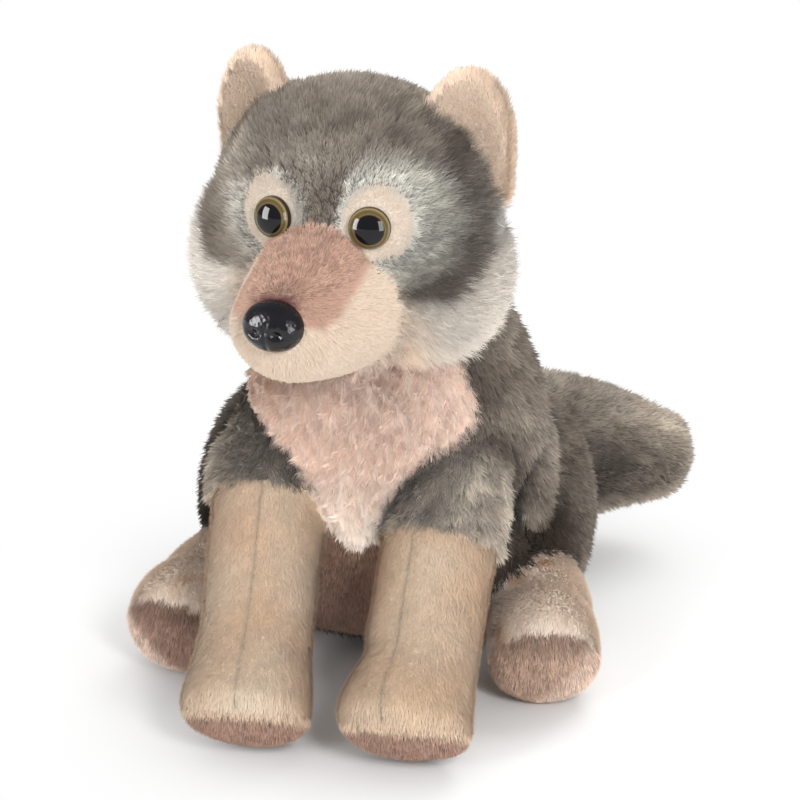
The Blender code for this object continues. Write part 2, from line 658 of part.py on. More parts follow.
def main():
    """Model every piece, cut neighbours clear of each other, and name them."""
    clear_scene()
    grey = material("grey_plush", (0.21, 0.175, 0.145), 0.95)
    cream = material("cream_plush", (0.75, 0.56, 0.42), 0.95)
    rose = material("rose_plush", (0.76, 0.52, 0.42), 0.95)
    brown = material("brown_plush", (0.42, 0.22, 0.16), 0.95)
    black = material("black_plastic", (0.012, 0.012, 0.016), 0.18)
    amber = material("amber_plastic", (0.10, 0.065, 0.02), 0.08)

    torso = torso_blank()
    to_head = head_matrix()
    crown = moved(crown_blank(), to_head)
    muzzle = moved(muzzle_blank(), to_head)
    bridge = moved(bridge_blank(), to_head)
    cheeks = both_sides(cheek_blank(), "cheek", to_head @ Matrix.Translation((CHEEK_SWAY, 0, 0)))
    patches = uneven_sides(patch_blank, "eye_patch", to_head)
    eyes = uneven_sides(eye_blank, "eye", to_head)
    nose = button_mesh("nose", NOSE_HALF_WIDTH, NOSE_HALF_HEIGHT, NOSE_DEPTH, SHANK_LENGTH)
    nose = moved(nose, to_head @ nose_matrix())
    half = EAR_THICKNESS / 2
    ear_back = moved(ear_mesh("ear_back", 1.0, half, half), ear_matrix())
    ear_backs = both_sides(ear_back, "ear_back", to_head)
    lining_back = half + LINING_GAP
    lining = ear_mesh("ear_lining", LINING_SHARE, lining_back + LINING_THICKNESS, -lining_back)
    linings = both_sides(moved(lining, ear_matrix()), "ear_lining", to_head)

    forelegs = {"left": foreleg_pieces(1), "right": foreleg_pieces(-1)}
    whole_legs = [pieces[0] for pieces in forelegs.values()]
    haunches = both_sides(haunch_blank(), "haunch")
    foot, foot_sole = hind_foot_pieces()
    feet = both_sides(foot, "hind_foot")
    foot_soles = both_sides(foot_sole, "hind_sole")
    tail = tail_blank()
    bib = bib_blank()
    belly = belly_blank()

    placed("torso", torso.copy(), grey)
    placed("head_crown", clear_of(crown, [torso, *eyes.values()]), grey)
    placed("muzzle", clear_of(muzzle, [torso, crown, nose]), cream)
    placed("muzzle_bridge", clear_of(bridge, [crown, muzzle, nose]), brown)
    placed("nose", nose, black)
    placed("bib", clear_of(bib, [torso, crown, muzzle, *cheeks.values(), *whole_legs]), rose)
    placed("belly_panel", clear_of(belly, [torso, bib, *whole_legs, *haunches.values()]), brown)
    placed("tail", clear_of(tail, [torso, *haunches.values()]), grey)
    middle = to_head.to_translation()
    leftward = to_head.to_3x3() @ Vector((1, 0, 0))
    for side, sign in (("left", 1), ("right", -1)):
        outward = leftward * sign
        cheek = kept_side(cheeks[side], middle + outward * (SEAM_GAP / 2), outward)
        cheek = clear_of(cheek, [torso, crown, muzzle, ear_backs[side], linings[side]])
        placed("cheek_" + side, cheek, cream)
        placed("eye_patch_" + side, clear_of(patches[side], [crown, bridge, eyes[side]]), cream)
        placed("eye_" + side, eyes[side], amber)
        placed("ear_back_" + side, clear_of(ear_backs[side], [crown]), grey)
        placed("ear_lining_" + side, clear_of(linings[side], [crown]), cream)
        whole_leg, sleeve, leg, paw_sole = forelegs[side]
        placed("foreleg_sleeve_" + side, clear_of(sleeve, [torso]), grey)
        placed("foreleg_" + side, clear_of(leg, [torso]), cream)
        placed("forepaw_sole_" + side, paw_sole, brown)
        placed("haunch_" + side, clear_of(haunches[side], [torso, whole_leg]), grey)
        placed("hind_foot_" + side, clear_of(feet[side], [torso, haunches[side], whole_leg]), cream)
        placed("hind_sole_" + side, foot_soles[side], brown)


main()
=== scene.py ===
# %% [markdown]
# # A seated plush wolf, sewn, stuffed and covered in pile
#
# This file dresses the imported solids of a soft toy. The solids give every form and place, and each cell
# below adds one thing the eye notices on the real toy: stuffed panels drawn in at their seams, two kinds
# of pile that grow from them, a mottled coat, plastic eyes and a plastic nose. Lengths are in metres.

import math

import bmesh
import bpy
import numpy as np
from mathutils import Matrix, Vector, noise
from mathutils.bvhtree import BVHTree
from mathutils.kdtree import KDTree


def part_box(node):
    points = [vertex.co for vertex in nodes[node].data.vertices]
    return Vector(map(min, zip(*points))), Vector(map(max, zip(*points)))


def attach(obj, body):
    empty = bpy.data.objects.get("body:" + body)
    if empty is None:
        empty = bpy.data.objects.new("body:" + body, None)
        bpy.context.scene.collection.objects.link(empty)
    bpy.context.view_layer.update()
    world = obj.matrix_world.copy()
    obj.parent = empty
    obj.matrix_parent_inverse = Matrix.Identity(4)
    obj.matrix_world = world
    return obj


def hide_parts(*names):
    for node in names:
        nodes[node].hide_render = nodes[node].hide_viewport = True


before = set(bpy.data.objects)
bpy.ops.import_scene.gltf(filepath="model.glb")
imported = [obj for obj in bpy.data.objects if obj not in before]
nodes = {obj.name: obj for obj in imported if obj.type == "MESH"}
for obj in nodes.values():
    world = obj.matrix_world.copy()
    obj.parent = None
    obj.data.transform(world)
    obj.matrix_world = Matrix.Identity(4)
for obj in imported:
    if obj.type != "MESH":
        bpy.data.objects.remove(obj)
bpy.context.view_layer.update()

# %% [markdown]
# ## Camera
#
# The toy was photographed with a long lens from a little above, a few degrees round to its left. A long
# lens keeps the paws from looking larger than the head. The lens and the distance were found by laying
# the solids' outline over the photograph.

# %% Camera
AZIMUTH = math.radians(11)
ELEVATION = math.radians(20)
AIM = Vector((0.0209, -0.095, 0.145))
DISTANCE = 1.2
LENS_MM = 124.74

toward_camera = Vector((math.sin(AZIMUTH) * math.cos(ELEVATION), -math.cos(AZIMUTH) * math.cos(ELEVATION),
                        math.sin(ELEVATION)))
camera_data = bpy.data.cameras.new("camera")
camera_data.sensor_width = 36
camera_data.lens = LENS_MM
camera = bpy.data.objects.new("camera", camera_data)
bpy.context.scene.collection.objects.link(camera)
camera.location = AIM + toward_camera * DISTANCE
camera.rotation_euler = toward_camera.to_track_quat("Z", "Y").to_euler()
bpy.context.scene.camera = camera
bpy.context.scene.view_settings.view_transform = "Standard"
print("camera at", [round(c, 3) for c in camera.location])

# %% [markdown]
# ## Light and floor
#
# Pile looks soft because light reaches it from nearly everywhere, so the world is an even pale grey and
# three soft lamps only shape it. Plastic mirrors a darker room with two tall windows, which only
# reflections see. The floor is pale. Seen straight from the camera it goes to white away from the toy,
# while it keeps the toy's shadow.

# %% Lamps and world
def soft_lamp(name, place, size, power, aim=(0, -0.06, 0.13)):
    """A square lamp that faces the toy."""
    data = bpy.data.lights.new(name, "AREA")
    data.shape = "RECTANGLE"
    data.size, data.size_y = size
    data.energy = power
    lamp = bpy.data.objects.new(name, data)
    bpy.context.scene.collection.objects.link(lamp)
    lamp.location = place
    lamp.rotation_euler = (Vector(place) - Vector(aim)).to_track_quat("Z", "Y").to_euler()
    return lamp


soft_lamp("key lamp", (0.75, -1.25, 0.95), (0.34, 0.50), 14.0).visible_glossy = False
soft_lamp("fill lamp", (-0.60, -1.30, 0.75), (0.26, 0.42), 5.0).visible_glossy = False
soft_lamp("back lamp", (0.5, 0.9, 1.4), (1.2, 0.6), 10.0).visible_glossy = False
soft_lamp("left window", (-1.25, -0.85, 0.45), (0.62, 1.05), 30.0).visible_diffuse = False
soft_lamp("right window", (1.10, -1.05, 0.45), (0.62, 1.05), 17.0).visible_diffuse = False

world = bpy.data.worlds.new("even light")
world.use_nodes = True
bpy.context.scene.world = world
tree = world.node_tree
tree.nodes.clear()
sky = tree.nodes.new("ShaderNodeBackground")
sky.inputs["Color"].default_value = (1.0, 1.0, 1.0, 1)
sky.inputs["Strength"].default_value = 0.76
white = tree.nodes.new("ShaderNodeBackground")
white.inputs["Color"].default_value = (1, 1, 1, 1)
white.inputs["Strength"].default_value = 1.0
mirrored = tree.nodes.new("ShaderNodeBackground")
mirrored.inputs["Color"].default_value = (1.0, 1.0, 1.0, 1)
mirrored.inputs["Strength"].default_value = 0.30
seen = tree.nodes.new("ShaderNodeLightPath")
glossy = tree.nodes.new("ShaderNodeMixShader")
choose = tree.nodes.new("ShaderNodeMixShader")
end = tree.nodes.new("ShaderNodeOutputWorld")
tree.links.new(seen.outputs["Is Camera Ray"], choose.inputs[0])
tree.links.new(seen.outputs["Is Glossy Ray"], glossy.inputs[0])
tree.links.new(sky.outputs[0], glossy.inputs[1])
tree.links.new(mirrored.outputs[0], glossy.inputs[2])
tree.links.new(glossy.outputs[0], choose.inputs[1])
tree.links.new(white.outputs[0], choose.inputs[2])
tree.links.new(choose.outputs[0], end.inputs[0])

# %% Floor
def floor_material():
    """Pale paper: lit as paper near the toy, and white to the camera farther out."""
    made = bpy.data.materials.new("pale paper")
    made.use_nodes = True
    links = made.node_tree.links
    new = made.node_tree.nodes.new
    paper = made.node_tree.nodes["Principled BSDF"]
    paper.inputs["Base Color"].default_value = (0.86, 0.86, 0.86, 1)
    paper.inputs["Roughness"].default_value = 0.9
    paper.inputs["Specular IOR Level"].default_value = 0.1
    glow = new("ShaderNodeEmission")
    glow.inputs["Color"].default_value = (1, 1, 1, 1)
    place = new("ShaderNodeTexCoord")
    centre = new("ShaderNodeMapping")
    centre.inputs["Location"].default_value = (-0.02, 0.03, 0)
    centre.inputs["Scale"].default_value = (1.0, 1.0, 0.0)
    reach = new("ShaderNodeVectorMath")
    reach.operation = "LENGTH"
    fade = new("ShaderNodeMapRange")
    fade.interpolation_type = "SMOOTHSTEP"
    fade.inputs["From Min"].default_value = 0.10
    fade.inputs["From Max"].default_value = 0.24
    path = new("ShaderNodeLightPath")
    either = new("ShaderNodeMath")
    either.operation = "MAXIMUM"
    gate = new("ShaderNodeMath")
    gate.operation = "MULTIPLY"
    mix = new("ShaderNodeMixShader")
    links.new(place.outputs["Object"], centre.inputs["Vector"])
    links.new(centre.outputs[0], reach.inputs[0])
    links.new(reach.outputs["Value"], fade.inputs["Value"])
    links.new(path.outputs["Is Camera Ray"], either.inputs[0])
    links.new(path.outputs["Is Glossy Ray"], either.inputs[1])
    links.new(either.outputs[0], gate.inputs[0])
    links.new(fade.outputs["Result"], gate.inputs[1])
    links.new(gate.outputs[0], mix.inputs[0])
    links.new(paper.outputs[0], mix.inputs[1])
    links.new(glow.outputs[0], mix.inputs[2])
    links.new(mix.outputs[0], made.node_tree.nodes["Material Output"].inputs["Surface"])
    return made


floor_mesh = bpy.data.meshes.new("floor")
floor_mesh.from_pydata([(-4, -4, 0), (4, -4, 0), (4, 4, 0), (-4, 4, 0)], [], [(0, 1, 2, 3)])
floor = bpy.data.objects.new("floor", floor_mesh)
bpy.context.scene.collection.objects.link(floor)
floor_mesh.materials.append(floor_material())
print("floor laid")

# %% [markdown]
# ## One stuffed skin
#
# On the toy, flat panels of plush are sewn edge to edge and stuffed until they swell, so a seam shows as
# a soft crease. All soft solids are copied, made to overlap by a hair and fused by a voxel remesh into one
# closed skin. That gives every seam its crease without any gap. The plastic eyes and nose stay out of it.

# %% Collect the soft solids
PLASTIC = ("eye_left", "eye_right", "nose")
soft = sorted(name for name in nodes if name not in PLASTIC)


def merged_copy(name, swell=0.0):
    """Corners and faces of a solid, doubles merged, moved out along its normals by swell."""
    bm = bmesh.new()
    bm.from_mesh(nodes[name].data)
    bmesh.ops.remove_doubles(bm, verts=bm.verts, dist=0.00001)
    bm.normal_update()
    corners = [v.co + v.normal * swell for v in bm.verts]
    faces = [[v.index for v in f.verts] for f in bm.faces]
    bm.free()
    return corners, faces


def fused(name, voxel, swell):
    """One closed mesh from all soft solids."""
    corners, faces = [], []
    for node in soft:
        more, rings = merged_copy(node, swell)
        start = len(corners)
        corners += more
        faces += [[start + k for k in ring] for ring in rings]
    mesh = bpy.data.meshes.new(name)
    mesh.from_pydata(corners, [], faces)
    made = bpy.data.objects.new(name, mesh)
    bpy.context.scene.collection.objects.link(made)
    remesh = made.modifiers.new("fuse", "REMESH")
    remesh.mode = "VOXEL"
    remesh.voxel_size = voxel
    bpy.context.view_layer.update()
    solid = bpy.data.meshes.new_from_object(made.evaluated_get(bpy.context.evaluated_depsgraph_get()))
    bpy.data.objects.remove(made, do_unlink=True)
    return solid


def points_of(mesh):
    """A mesh's corners as an array."""
    flat = np.empty(len(mesh.vertices) * 3)
    mesh.vertices.foreach_get("co", flat)
    return flat.reshape(-1, 3)


def normals_of(mesh):
    """A mesh's corner normals as an array."""
    flat = np.empty(len(mesh.vertices) * 3)
    mesh.vertex_normals.foreach_get("vector", flat)
    return flat.reshape(-1, 3)


SKIN_VOXEL, STUFFING_VOXEL = 0.0027, 0.0050
OVERLAP = 0.0007
skin = fused("skin", SKIN_VOXEL, OVERLAP)
print("skin:", len(skin.vertices), "corners")

# %% Which solid each corner belongs to
tree_corners, tree_faces, face_node = [], [], []
for index, node in enumerate(soft):
    more, rings = merged_copy(node)
    start = len(tree_corners)
    tree_corners += more
    tree_faces += [[start + k for k in ring] for ring in rings]
    face_node += [index] * len(rings)
surface = BVHTree.FromPolygons(tree_corners, tree_faces)


def owners(points):
    """The index of the nearest soft solid for each point."""
    return np.array([face_node[surface.find_nearest(Vector(p))[2]] for p in points])


owner = owners(points_of(skin))
print("corners by solid:", {node: int((owner == k).sum()) for k, node in enumerate(soft)})

# %% [markdown]
# ## Stuffing
#
# Stuffing is gas-like pressure on cloth, so Blender's Cloth with pressure and no gravity swells each panel
# between its seams. It runs on a coarser copy, which is quick, with the seams and the seat held still. How
# far each corner moved is capped, and then carried over to the fine skin.

# %% Swell the panels
SWELL_CAP = 0.0028
CLOTH_STEPS = 12


def swelling():
    """Places and shifts of a coarse skin's corners after it is stuffed."""
    mesh = fused("stuffing", STUFFING_VOXEL, OVERLAP)
    before = points_of(mesh)
    held = mesh_seams(mesh)
    body = bpy.data.objects.new("stuffing", mesh)
    bpy.context.scene.collection.objects.link(body)
    group = body.vertex_groups.new(name="seams")
    for index, weight in enumerate(held):
        if weight > 0:
            group.add([index], float(weight), "REPLACE")
    cloth = body.modifiers.new("cloth", "CLOTH")
    cloth.settings.quality = 4
    cloth.settings.mass = 0.3
    cloth.settings.tension_stiffness = 12
    cloth.settings.compression_stiffness = 12
    cloth.settings.bending_stiffness = 0.4
    cloth.settings.use_pressure = True
    cloth.settings.uniform_pressure_force = 4.0
    cloth.settings.vertex_group_mass = "seams"
    cloth.settings.effector_weights.gravity = 0.0
    scene = bpy.context.scene
    for step in range(1, CLOTH_STEPS + 1):
        scene.frame_set(step)
    bpy.context.view_layer.update()
    stuffed = bpy.data.meshes.new_from_object(body.evaluated_get(bpy.context.evaluated_depsgraph_get()))
    shift = points_of(stuffed) - before
    scene.frame_set(1)
    bpy.data.objects.remove(body, do_unlink=True)
    length = np.linalg.norm(shift, axis=1, keepdims=True)
    return before, shift * np.minimum(1.0, SWELL_CAP / np.maximum(length, 1e-9))


def mesh_seams(mesh):
    """1 where a corner lies on a seam or on the floor, and 0 elsewhere."""
    places = points_of(mesh)
    mine = owners(places)
    held = np.zeros(len(places))
    for edge in mesh.edges:
        a, b = edge.vertices
        if mine[a] != mine[b]:
            held[a] = held[b] = 1.0
    held[places[:, 2] < 0.003] = 1.0
    return held


def carried(places, shift, points):
    """Shifts of the coarse corners, blended onto other points."""
    kd = KDTree(len(places))
    for index, place in enumerate(places):
        kd.insert(Vector(place), index)
    kd.balance()
    made = np.zeros((len(points), 3))
    for row, point in enumerate(points):
        near = kd.find_n(Vector(point), 4)
        weights = np.array([1 / (gap + 0.0005) for _, _, gap in near])
        made[row] = (shift[[index for _, index, _ in near]] * weights[:, None]).sum(0) / weights.sum()
    return made


stuffing = carried(*swelling(), points_of(skin))
farthest = float(np.linalg.norm(stuffing, axis=1).max())
print("stuffing moved the skin by up to", round(farthest * 1000, 2), "mm")

# %% [markdown]
# ## The head's own axes
#
# The face is turned to the wolf's right. Everything painted or combed on the head is laid out in the
# head's own axes: x to the wolf's left, y to the back, z up. Both halves of the face then share one rule.

# %% Head axes
HEAD_TURN = math.radians(13)
HEAD_CENTRE = Vector((0.0, -0.086, 0.226))
CROWN_HALF = (0.062, 0.040, 0.056)
EYE_SPREAD, EYE_SWAY, EYE_RISE = 0.0212, 0.0025, 0.006
PATCH_DEPTH = 0.0025
NOSE_SPOT = (0.0, -0.0795, -0.0272)
NOSE_TILT = math.radians(12)

to_body = Matrix.Translation(HEAD_CENTRE) @ Matrix.Rotation(-HEAD_TURN, 4, "Z")


def in_head(points):
    """Points of the body frame in the head's own axes."""
    turn = np.array(to_body.to_3x3())
    return (np.asarray(points) - np.array(HEAD_CENTRE)) @ turn


def eye_seat(side):
    """Carries an eye, which faces -Y at its own origin, onto the face. side is 1 for the wolf's left."""
    x, z = EYE_SPREAD + EYE_SWAY * side, EYE_RISE
    front = CROWN_HALF[1] * math.sqrt(1 - (x / CROWN_HALF[0]) ** 2 - (z / CROWN_HALF[2]) ** 2)
    out = Vector((x / CROWN_HALF[0] ** 2, -front / CROWN_HALF[1] ** 2, z / CROWN_HALF[2] ** 2)).normalized()
    spot = Vector((x, -front, z)) + out * PATCH_DEPTH
    out.x *= side
    spot.x *= side
    return to_body @ Matrix.Translation(spot) @ (-out).to_track_quat("Y", "Z").to_matrix().to_4x4()


seats = {"eye_left": eye_seat(1), "eye_right": eye_seat(-1)}
for eye, seat in seats.items():
    low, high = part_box(eye)
    apart = (seat.to_translation() - (low + high) / 2).length
    print(eye, "is", round(apart * 1000, 1), "mm from its box's centre")

# %% [markdown]
# ## What grows where
#
# Two plushes are sewn together. The coat, ruff, bib and tail are long pile, which stands in tufts. The
# muzzle, legs, ear linings and soles are short pile, close to velvet. Each corner of the skin gets a pile
# length, a colour and a combing direction, and the skin sinks a little so that the tips, not the cloth,
# reach the toy's outline.

# %% Small helpers for masks
def ramp(low, high, value):
    """0 below low, 1 above high, smooth between."""
    t = np.clip((value - low) / (high - low), 0, 1)
    return t * t * (3 - 2 * t)


def ripple(points, scale, seed=0.0):
    """Smooth noise from -1 to 1 at the given number of waves per metre."""
    return np.array([noise.noise(Vector((p[0] * scale + seed, p[1] * scale, p[2] * scale))) for p in points])


def gap_to_line(points, line):
    """Distance of each point from a chain of straight pieces."""
    nearest = np.full(len(points), 1.0)
    for first, last in zip(np.array(line)[:-1], np.array(line)[1:]):
        way = last - first
        along = np.clip((points - first) @ way / (way @ way), 0, 1)
        nearest = np.minimum(nearest, np.linalg.norm(points - first - along[:, None] * way, axis=1))
    return nearest


def blended(base, over, share):
    """base with over laid on by share, row by row."""
    return base * (1 - share[:, None]) + np.asarray(over) * share[:, None]


def gap_to(node, points, reach=0.03):
    """Distance of each point from a solid, at most reach."""
    corners, faces = merged_copy(node)
    near = BVHTree.FromPolygons(corners, faces)
    gaps = []
    for p in points:
        hit = near.find_nearest(Vector(p), reach)
        gaps.append(hit[3] if hit[0] is not None else reach)
    return np.array(gaps)


# %% Pile of each panel: length, how far the cloth sinks, strands per square millimetre, lean, tufting
LONG, FLUFF, SHORT, BROWN_PILE = "long", "fluff", "short", "brown"
PILE = {
    "torso": (LONG, 0.0092, 0.0022, 1.65, 0.78, 0.9),
    "head_crown": (LONG, 0.0076, 0.0018, 2.7, 0.85, 0.7),
    "cheek": (FLUFF, 0.0098, 0.0018, 3.1, 0.80, 0.8),
    "bib": (FLUFF, 0.0100, 0.0034, 4.9, 0.85, 1.2),
    "tail": (LONG, 0.0076, 0.0020, 1.85, 0.62, 0.8),
    "haunch": (LONG, 0.0085, 0.0022, 1.9, 0.75, 0.9),
    "foreleg_sleeve": (LONG, 0.0088, 0.0018, 2.2, 0.85, 0.9),
    "ear_back": (FLUFF, 0.0044, 0.0010, 3.3, 1.00, 0.4),
    "ear_lining": (SHORT, 0.0026, 0.0004, 4.5, 1.10, 0.2),
    "eye_patch": (SHORT, 0.0030, 0.0004, 4.5, 1.20, 0.2),
    "muzzle": (SHORT, 0.0030, 0.0004, 4.3, 1.30, 0.2),
    "muzzle_bridge": (BROWN_PILE, 0.0024, 0.0002, 6.4, 0.80, 0.1),
    "foreleg": (SHORT, 0.0032, 0.0006, 3.2, 1.20, 0.3),
    "forepaw_sole": (BROWN_PILE, 0.0034, 0.0006, 3.6, 1.10, 0.2),
    "hind_foot": (SHORT, 0.0036, 0.0006, 3.0, 1.20, 0.3),
    "hind_sole": (BROWN_PILE, 0.0036, 0.0006, 3.8, 1.00, 0.2),
    "belly_panel": (BROWN_PILE, 0.0034, 0.0004, 3.0, 1.10, 0.2),
}
LENGTH, SINK, STRANDS, LEAN, TUFTING = 1, 2, 3, 4, 5


def kind_of(node):
    """A node's name without its side."""
    return node.removesuffix("_left").removesuffix("_right")


def per_corner(column):
    """One column of the table for every corner of the skin."""
    return np.array([PILE[kind_of(node)][column] for node in soft])[owner]


places = points_of(skin)
normals = normals_of(skin)
head = in_head(places)
side = np.abs(head[:, 0])
is_kind = {kind: np.isin(owner, [k for k, node in enumerate(soft) if kind_of(node) == kind]) for kind in PILE}
length = per_corner(LENGTH).astype(float)
sink = per_corner(SINK).astype(float)
lean = per_corner(LEAN).astype(float)
on_head = is_kind["head_crown"] | is_kind["cheek"] | is_kind["eye_patch"]
print("pile kinds:", {kind: int(mask.sum()) for kind, mask in is_kind.items()})

# %% [markdown]
# ## Colours of the coat
#
# The coat is a mottled grey with browner and paler tufts. On the face, a pale ring lies round each eye
# patch, a dark edge runs outside it, and a grey stripe separates the eyes. The muzzle's top is a brown
# pink, and the bib is rose with paler tips. Borders waver, because long strands cross every seam.

# %% Colours
GREY = np.array((0.300, 0.258, 0.215))
DARK = np.array((0.125, 0.098, 0.075))
FROST = np.array((0.78, 0.76, 0.69))
CREAM = np.array((0.76, 0.575, 0.425))
PALE = np.array((0.80, 0.73, 0.645))
ROSE = np.array((0.90, 0.70, 0.59))
BROWN = np.array((0.455, 0.285, 0.215))


def scaled_on(kind, factor):
    """The coat with one kind of panel lightened or darkened."""
    return np.where(is_kind[kind][:, None], coat * np.asarray(factor)[..., None], coat)


on_left = places[:, 0] > 0
wave = ripple(places, 110)
fine = ripple(places, 260, 5.0)
drift = ripple(places, 38, 9.0)

coat = np.tile(GREY, (len(places), 1))
clump = ripple(places, 170, 21.0)
coat = blended(coat, DARK, 0.55 * ramp(0.0, 0.6, drift + 0.5 * wave + 0.35 * clump))
coat = blended(coat, FROST * (1.0, 0.95, 0.88), 0.26 * ramp(0.05, 0.6, -0.7 * drift + 0.6 * clump))
coat = np.where((is_kind["haunch"] | is_kind["torso"])[:, None], coat * (0.78, 0.76, 0.75), coat)
coat = scaled_on("haunch", 0.80 + 0.35 * np.clip(clump + drift, -1, 1))
blotch = np.clip(clump + 0.6 * wave, -1, 1)
# Painted light: the sleeve on the wolf's left, the side the key lamp lights, is lighter; blotch varies tone
coat = scaled_on("foreleg_sleeve", 1.05 + 0.15 * on_left + 0.30 * blotch)
coat = scaled_on("tail", 0.88 + 0.40 * ramp(0.085, 0.115, places[:, 0]))
# Lighter where the tail faces straight up or down; on its top this is painted light
coat = scaled_on("tail", 1 + 0.36 * ramp(0.35, 0.90, np.abs(normals[:, 2])))

hx, hy, hz = head[:, 0] + 0.0012 * wave, head[:, 1] + 0.0015 * fine, head[:, 2] + 0.0018 * wave
hs = np.abs(hx)
es = np.abs(hx - EYE_SWAY)
print("coat mottled from", coat.min(0).round(3), "to", coat.max(0).round(3))

# %% Mask and ruff: grey in front, down to a border below the cheeks, and the cream ruff outside it
low_edge = -0.0165 - np.where(hx > 0, 0.0100, 0.0048) * ramp(0.026, 0.038, hs)
low_edge = low_edge + 0.024 * ramp(0.053, 0.066, hs)
back_edge = hy - 0.55 * np.maximum(hz - 0.004, 0) + 0.60 * np.maximum(-hz - 0.004, 0) + 0.010 * (hx < 0)
mask_front = 1 - ramp(-0.0035, 0.0025, back_edge)
in_mask = np.minimum(ramp(-0.0025, 0.0025, hz - low_edge), mask_front)
above = ramp(0.010, 0.020, hz)
in_mask = np.maximum(in_mask, above)
forward_of_ears = 1 - ramp(0.006, 0.026, hy + 0.005 * fine + 0.15 * hz)
ruff = (on_head & ~is_kind["eye_patch"]) * (1 - in_mask) * forward_of_ears
coat = blended(coat, PALE * (0.90, 0.92, 0.95), ruff)
coat = blended(coat, (0.86, 0.70, 0.57), ruff * 0.75 * (1 - ramp(0.030, 0.048, hs + 0.004 * fine)))
coat = blended(coat, (0.66, 0.62, 0.57), ruff * 0.60 * ramp(0.046, 0.058, hs + 0.004 * wave))
high_ruff = ramp(-0.016, 0.000, hz + 0.004 * fine) * ramp(0.048, 0.058, hs)
coat = blended(coat, (0.46, 0.44, 0.42), ruff * 0.80 * high_ruff)
print("corners in the mask:", int((on_head & (in_mask > 0.5)).sum()), "in the ruff:", int((ruff > 0.5).sum()))

# %% Frost: a pale ring round each eye, a dark edge outside it
ring = np.sqrt(((es - 0.0270) / 0.0255) ** 2 + ((hz - 0.0060) / 0.0260) ** 2)
face = on_head & ~is_kind["eye_patch"] & (head[:, 1] < 0.0)
streak = ripple(np.stack([np.arctan2(hz + 0.016, es + 0.012) * 0.09, ring * 0.004, 0 * hz], 1), 330, 3.0)
ring_top = ring * np.where(hx < 0, 1.22, 1.0) + 0.9 * np.maximum(hz - 0.012, 0) / 0.02 * (hx < 0)
off_stripe = es - 0.12 * np.maximum(hz, 0)
frost = face * in_mask * (1 - ramp(0.74, 1.20, ring_top + 0.16 * streak)) * ramp(0.0035, 0.008, off_stripe)
frost = frost * (0.92 + 0.34 * fine + 0.16 * streak) * np.where(hx < 0, 0.55, 1.0)
coat = blended(coat, FROST, np.clip(frost, 0, 1))
edge = face * in_mask * ramp(1.00, 1.16, ring + 0.10 * streak) * (1 - ramp(0.016, 0.032, hz))
edge *= 0.45 + 0.55 * ramp(0.030, 0.050, hs)
coat = blended(coat, DARK, 0.42 * edge)
# Painted shade: the brow on the wolf's right, away from the key lamp, is darkened
brow_shade = np.exp(-(((hx + 0.028) / 0.016) ** 2 + ((hz - 0.034) / 0.014) ** 2))
coat *= 1 - 0.42 * on_head[:, None] * brow_shade[:, None]
stripe = face * in_mask * (1 - ramp(0.0030, 0.0065, off_stripe))
coat = blended(coat, DARK, 0.45 * stripe * (1 - ramp(0.014, 0.030, hz)))
top = on_head * ramp(0.030, 0.050, hz)
coat = blended(coat, DARK * 1.25, 0.35 * top * ramp(-0.3, 0.4, clump + 0.6 * wave))
print("frosted corners:", int((frost > 0.3).sum()))

# %% Muzzle, bridge and eye patches
muzzle = is_kind["muzzle"] | is_kind["muzzle_bridge"]
bridge_line = hz + 0.0100 - 0.42 * (hy + 0.036)
between_eyes = on_head & (hy < -0.030) & (hz < 0.006) & (hs < 0.024)
brown = (muzzle | between_eyes) * ramp(-0.0010, 0.0014, bridge_line)
brown = brown * (1 - ramp(0.0225, 0.0255, hs)) * (1 - ramp(0.004, 0.0065, hz)) * ~is_kind["eye_patch"]
coat = blended(coat, (0.76, 0.625, 0.50), (muzzle & (brown < 1)).astype(float))
coat = blended(coat, BROWN * 1.35, brown * (0.9 + 0.1 * fine))
nose_gap = gap_to("nose", places)
over_nose = (1 - ramp(0.0010, 0.0036, nose_gap)) * ramp(-0.024, -0.016, hz)
coat = blended(coat, (0.16, 0.05, 0.055), muzzle * over_nose)
patch_spot, patch_half = np.where(hx < 0, 0.0260, 0.0236), np.where(hx < 0, 0.0122, 0.0134)
patch_out = np.sqrt(((es - patch_spot) / patch_half) ** 2 + ((hz - 0.0068) / 0.0155) ** 2)
coat = blended(coat, PALE * 0.55 + CREAM * 0.45, is_kind["eye_patch"] * (1 - ramp(0.95, 1.15, patch_out)))
coat = np.where(is_kind["eye_patch"][:, None], coat * 0.88, coat)
between = (hx < 0) * (es < 0.020)
coat = blended(coat, FROST, is_kind["eye_patch"] * ramp(0.95, 1.15, patch_out) * np.where(between, 0.25, 0.8))
print("brown corners on the bridge:", int((brown > 0.5).sum()))

# %% Ears: cream lining, grey back, painted shade where the ear folds onto the crown
forward = normals @ np.array(to_body.to_3x3() @ Vector((0, -1, 0)))
lining = is_kind["ear_lining"] | (is_kind["ear_back"] & (forward > -0.15))
coat = blended(coat, CREAM * 0.65 + PALE * 0.35, lining.astype(float))
rim = is_kind["ear_back"] & ~lining
coat = blended(coat, (0.62, 0.55, 0.47), rim * 0.85)
# Painted shade: a dark patch in the fold where each ear meets the crown
ear_fold_line = side - 0.0475 - 0.4 * (0.034 - head[:, 2])
ear_fold_shade = np.sqrt((ear_fold_line / 0.0042) ** 2 + ((head[:, 2] - 0.033) / 0.011) ** 2)
by_ears = is_kind["ear_lining"] | is_kind["ear_back"] | is_kind["head_crown"]
coat = blended(coat, DARK * 1.15, by_ears * (head[:, 1] < 0.012) * (1 - ramp(0.5, 1.25, ear_fold_shade + 0.25 * fine)))
print("corners of ear lining:", int(lining.sum()))

